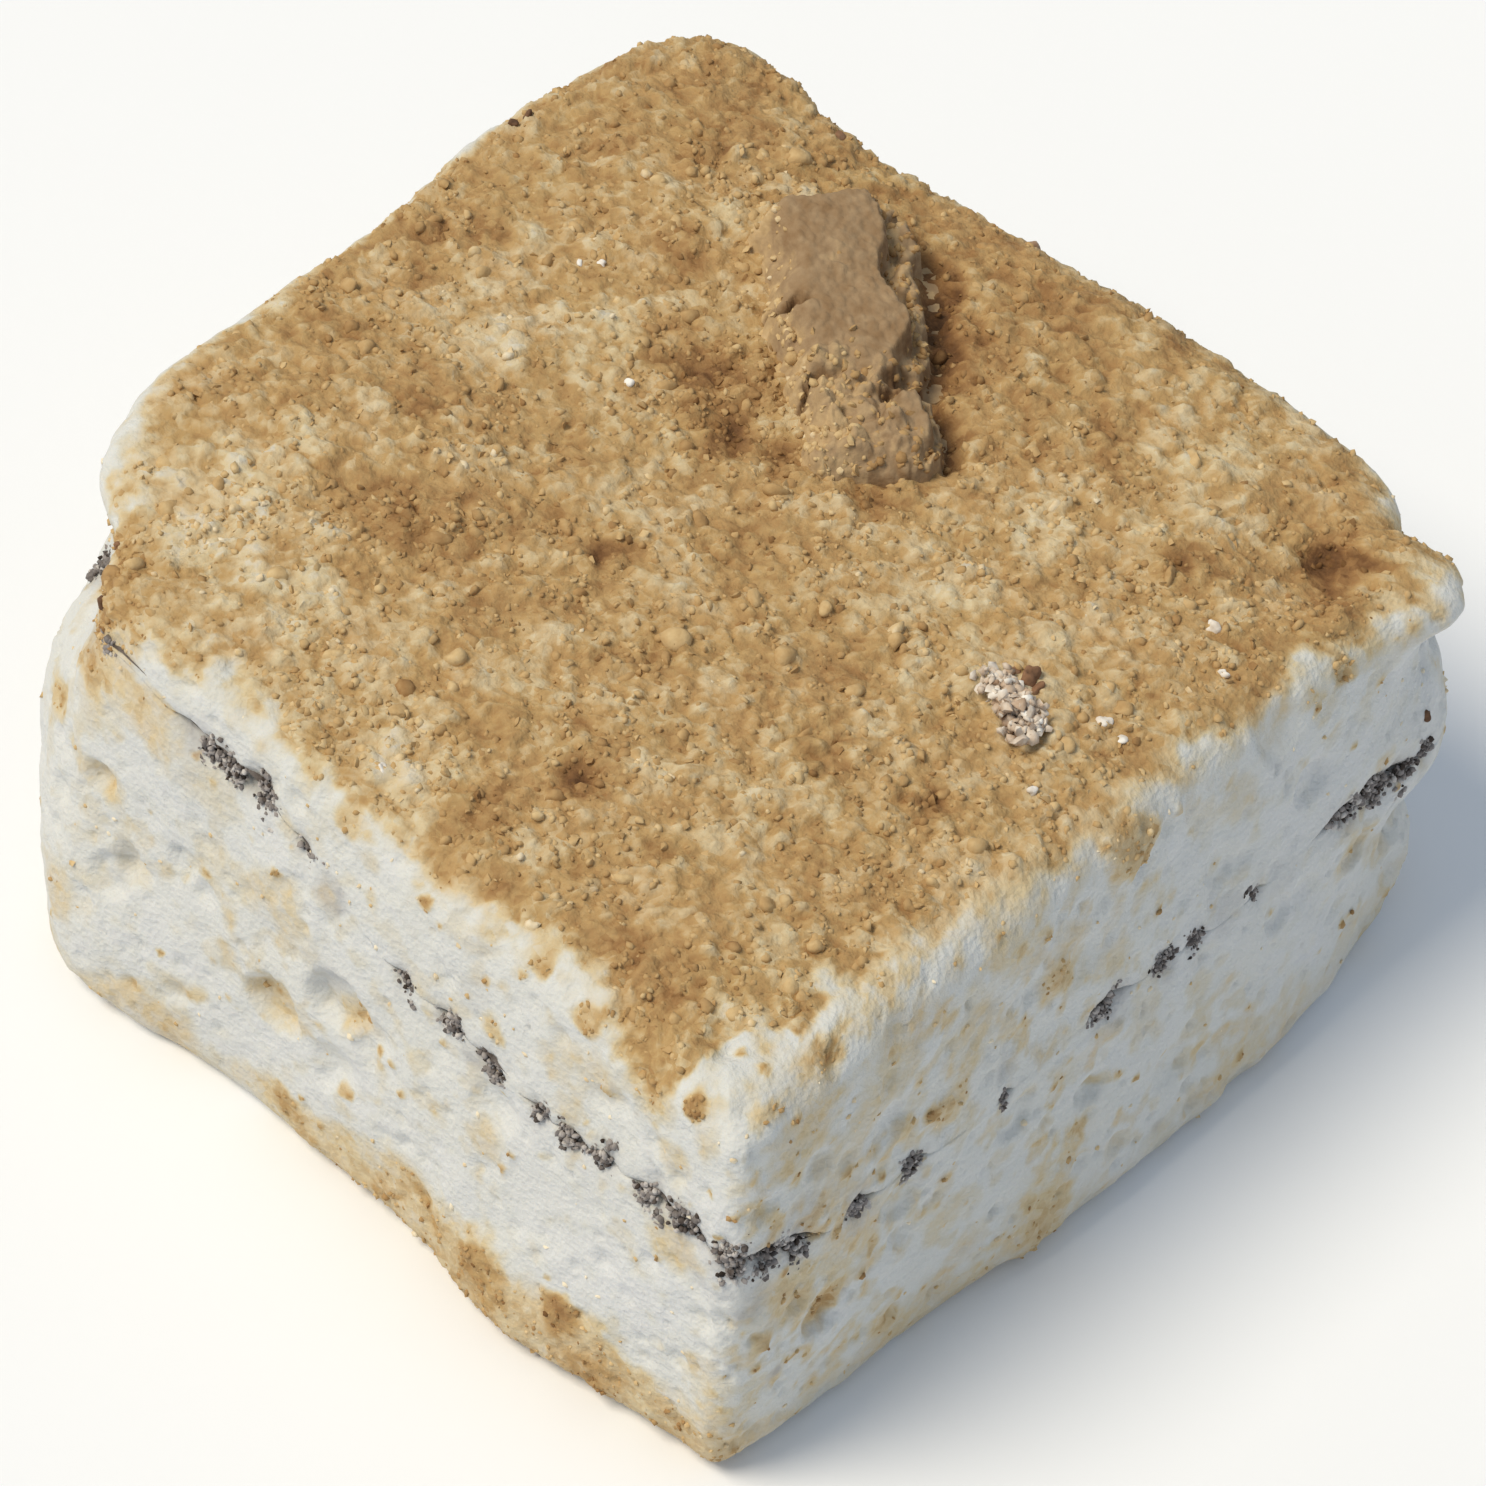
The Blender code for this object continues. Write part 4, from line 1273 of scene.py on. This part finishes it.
def biscuit_lump(material):
    """The lump of biscuit: a leaning baked face that is steep on its far right side, slopes
    into the coat on its near left side, and crumbles at its front end."""
    cube, faces = cube_lattice(*LUMP_CELLS, LUMP_LEVELS, True)
    u, v, w = cube.T
    points, thickness = lump_points(u, v)
    half_length, half_width = LUMP_HALF_LENGTH * LUMP_REACH, LUMP_HALF_WIDTH * LUMP_REACH
    ragged = rough_noise(points, 3.0, 131, 2)
    broken = rough_noise(points, 1.0, 141)
    notch = np.clip(0.55 + 0.55 * ragged + 0.25 * broken, 0.05, 2.0)
    right = (1 - v) * half_width - notch
    rise = smooth_step(((v + 1) * half_width - notch) / LUMP_SLOPES["left"])
    rise *= smooth_step(((1 - u) * half_length - notch) / LUMP_SLOPES["front"])
    rise *= smooth_step(((u + 1) * half_length - notch) / LUMP_SLOPES["back"])
    ledge = LUMP_LEDGE_WIDTH * (1 + 0.5 * ragged)
    steps = LUMP_LEDGE * smooth_step(right / LUMP_SLOPES["right"])
    steps += (1 - LUMP_LEDGE) * smooth_step((right - ledge) / LUMP_SLOPES["right"])
    rise *= steps

    bent = warped(points, 0.9, 0.25, 142)
    clumps, _ = cobbles(bent, 1.6, 133)
    grains, number = cobbles(bent, 0.66, 134)
    dust, _ = cobbles(points, 0.36, 135)
    crumbly = smooth_step((u + 0.35 * ragged - 0.35 * v + 0.02) / 0.3)
    crumbly = np.maximum(crumbly, smooth_step((0.98 - rise + 0.2 * broken) / 0.4))
    rough = 0.55 * (clumps - 0.5) + 0.28 * (grains - 0.4) + 0.25 * broken
    flat = 0.07 * (grains - 0.5) + 0.12 * rough_noise(points, 1.8, 136, 2)
    relief = flat + crumbly * (rough - flat) + 0.08 * (dust - 0.5)
    crack = np.zeros(len(points))
    for at, tilt, start, stop, width in LUMP_CRACKS:
        line = np.abs(u - at - tilt * v + 0.07 * rough_noise(points, 0.9, 137)) * LUMP_HALF_LENGTH
        run = smooth_step((v - start) * 4) * smooth_step((stop - v) * 4)
        crack = np.maximum(crack, bell(line, width) * run)
    relief -= 2.4 * crack * LUMP_CRACK_DEPTH
    height = LUMP_SHARE * thickness * rise + relief * smooth_step(rise * 4)
    sunk = LUMP_FOOT * (1 - smooth_step(rise * 3))
    moved = points.copy()
    moved[:, 2] += np.where(w > 0, height - sunk, -LUMP_FOOT - 0.15)

    mesh = new_mesh("biscuit_lump_detailed", moved, faces)
    steep = 1 - smooth_step((point_normals(mesh)[:, 2] - 0.25) / 0.5)
    tint = 0.42 + 0.06 * rough_noise(points, 1.5, 138) + 0.14 * (number - 0.5) * (0.4 + crumbly)
    # Painted shade: darker in the cracks and on the steep faces of the right side.
    tint += 0.16 * crumbly - 0.35 * crack - 0.20 * steep * (v > 0) + 0.14 * (1 - rise) * (v < 0)
    normals = point_normals(mesh)
    add_piece(mesh, moved, material, {"tint": tint}, ["biscuit_lump"])
    slope = smooth_step(rise * 6) * smooth_step((0.97 - rise) * 4)
    weights = (w > 0) * (0.6 * slope + 0.5 * crumbly * smooth_step(rise * 3) + 0.002)
    yellow = smooth_step((0.2 - v) / 0.6)
    # The crumbs' tints carry the painted shade of the steep right-hand faces.
    return moved, normals, weights, 0.42 + 0.24 * yellow - 0.12 * steep * (v > 0)


# ---------------------------------------------------------------- floor, light and camera

AIM = (2.34, -1.06, 10.72)
AZIMUTH = math.radians(38.0)
ELEVATION = math.radians(49.0)
ROLL = math.radians(6.5)
DISTANCE = 288.0
LENS = 185.8
KEY_DIRECTION = (-0.30, -0.45, 0.84)
KEY_STRENGTH = 2.75
KEY_COLOUR = (0.99, 0.885, 0.70)
KEY_ANGLE = math.radians(28)
WORLD_COLOUR = (0.38, 0.43, 0.48, 1.0)
FLOOR_COLOUR = (0.86, 0.88, 0.93, 1.0)
FLOOR_SIZE = 1.5


def add_floor():
    mesh = bpy.data.meshes.new("floor")
    half = FLOOR_SIZE / 2
    corners = [(-half, -half, 0), (half, -half, 0), (half, half, 0), (-half, half, 0)]
    mesh.from_pydata(corners, [], [(0, 1, 2, 3)])
    tree = Tree("floor", {"Roughness": 0.9, "Base Color": FLOOR_COLOUR, "Specular IOR Level": 0.1})
    mesh.materials.append(tree.material)
    floor = bpy.data.objects.new("floor", mesh)
    bpy.context.scene.collection.objects.link(floor)


def add_light():
    key = bpy.data.lights.new("key", "SUN")
    key.energy = KEY_STRENGTH
    key.color = KEY_COLOUR
    key.angle = KEY_ANGLE
    lamp = bpy.data.objects.new("key", key)
    lamp.rotation_euler = Vector(KEY_DIRECTION).to_track_quat("Z", "Y").to_euler()
    bpy.context.scene.collection.objects.link(lamp)
    world = bpy.data.worlds.new("studio")
    world.use_nodes = True
    world.node_tree.nodes["Background"].inputs["Color"].default_value = WORLD_COLOUR
    bpy.context.scene.world = world
    bpy.context.scene.view_settings.view_transform = "Standard"


def add_camera():
    level = math.cos(ELEVATION)
    back = Vector(
        (math.sin(AZIMUTH) * level, -math.cos(AZIMUTH) * level, math.sin(ELEVATION))
    )
    camera = bpy.data.objects.new("camera", bpy.data.cameras.new("camera"))
    camera.data.lens = LENS
    camera.data.clip_start = 0.01
    turn = back.to_track_quat("Z", "Y").to_matrix().to_4x4()
    place = Matrix.Translation((Vector(AIM) + back * DISTANCE) * MM)
    camera.matrix_world = place @ turn @ Matrix.Rotation(ROLL, 4, "Z")
    bpy.context.scene.collection.objects.link(camera)
    bpy.context.scene.camera = camera


def main():
    rng = np.random.default_rng(7)
    add_camera()
    add_light()
    add_floor()
    marshmallow = crumbed_material("marshmallow")
    coated = crumbed_material("crumbed_marshmallow")
    biscuit = crumb_material("biscuit", BISCUIT_TONES, 0.5, 0.08)
    golden = crumb_material("golden_crumb", GOLDEN_TONES, 0.35, 0.05)
    cookie = crumb_material("cookie_crumb", COOKIE_TONES, 0.3, 0.05)
    low_points, low_normals, low_tone = lower_marshmallow(marshmallow)
    surface = upper_marshmallow(coated)
    up_points, up_normals, up_tone, cover = surface
    lump = biscuit_lump(biscuit)
    golden_crumbs(rng, surface, lump, golden)
    low_bare = (low_points[:, 2] > 0.3) * (np.abs(low_normals[:, 2]) < 0.8) * 1.0
    up_bare = (1 - cover) * (np.abs(up_normals[:, 2]) < 0.8)
    wall_crumbs(
        rng,
        [(low_points, low_normals, low_tone, low_bare), (up_points, up_normals, up_tone, up_bare)],
        golden,
    )
    cookie_crumb_filling(rng, cookie)
    stray = crumb_material("stray_crumb", STRAY_TONES, 0.4, 0.06)
    stray_crumbs(rng, surface, stray)


main()
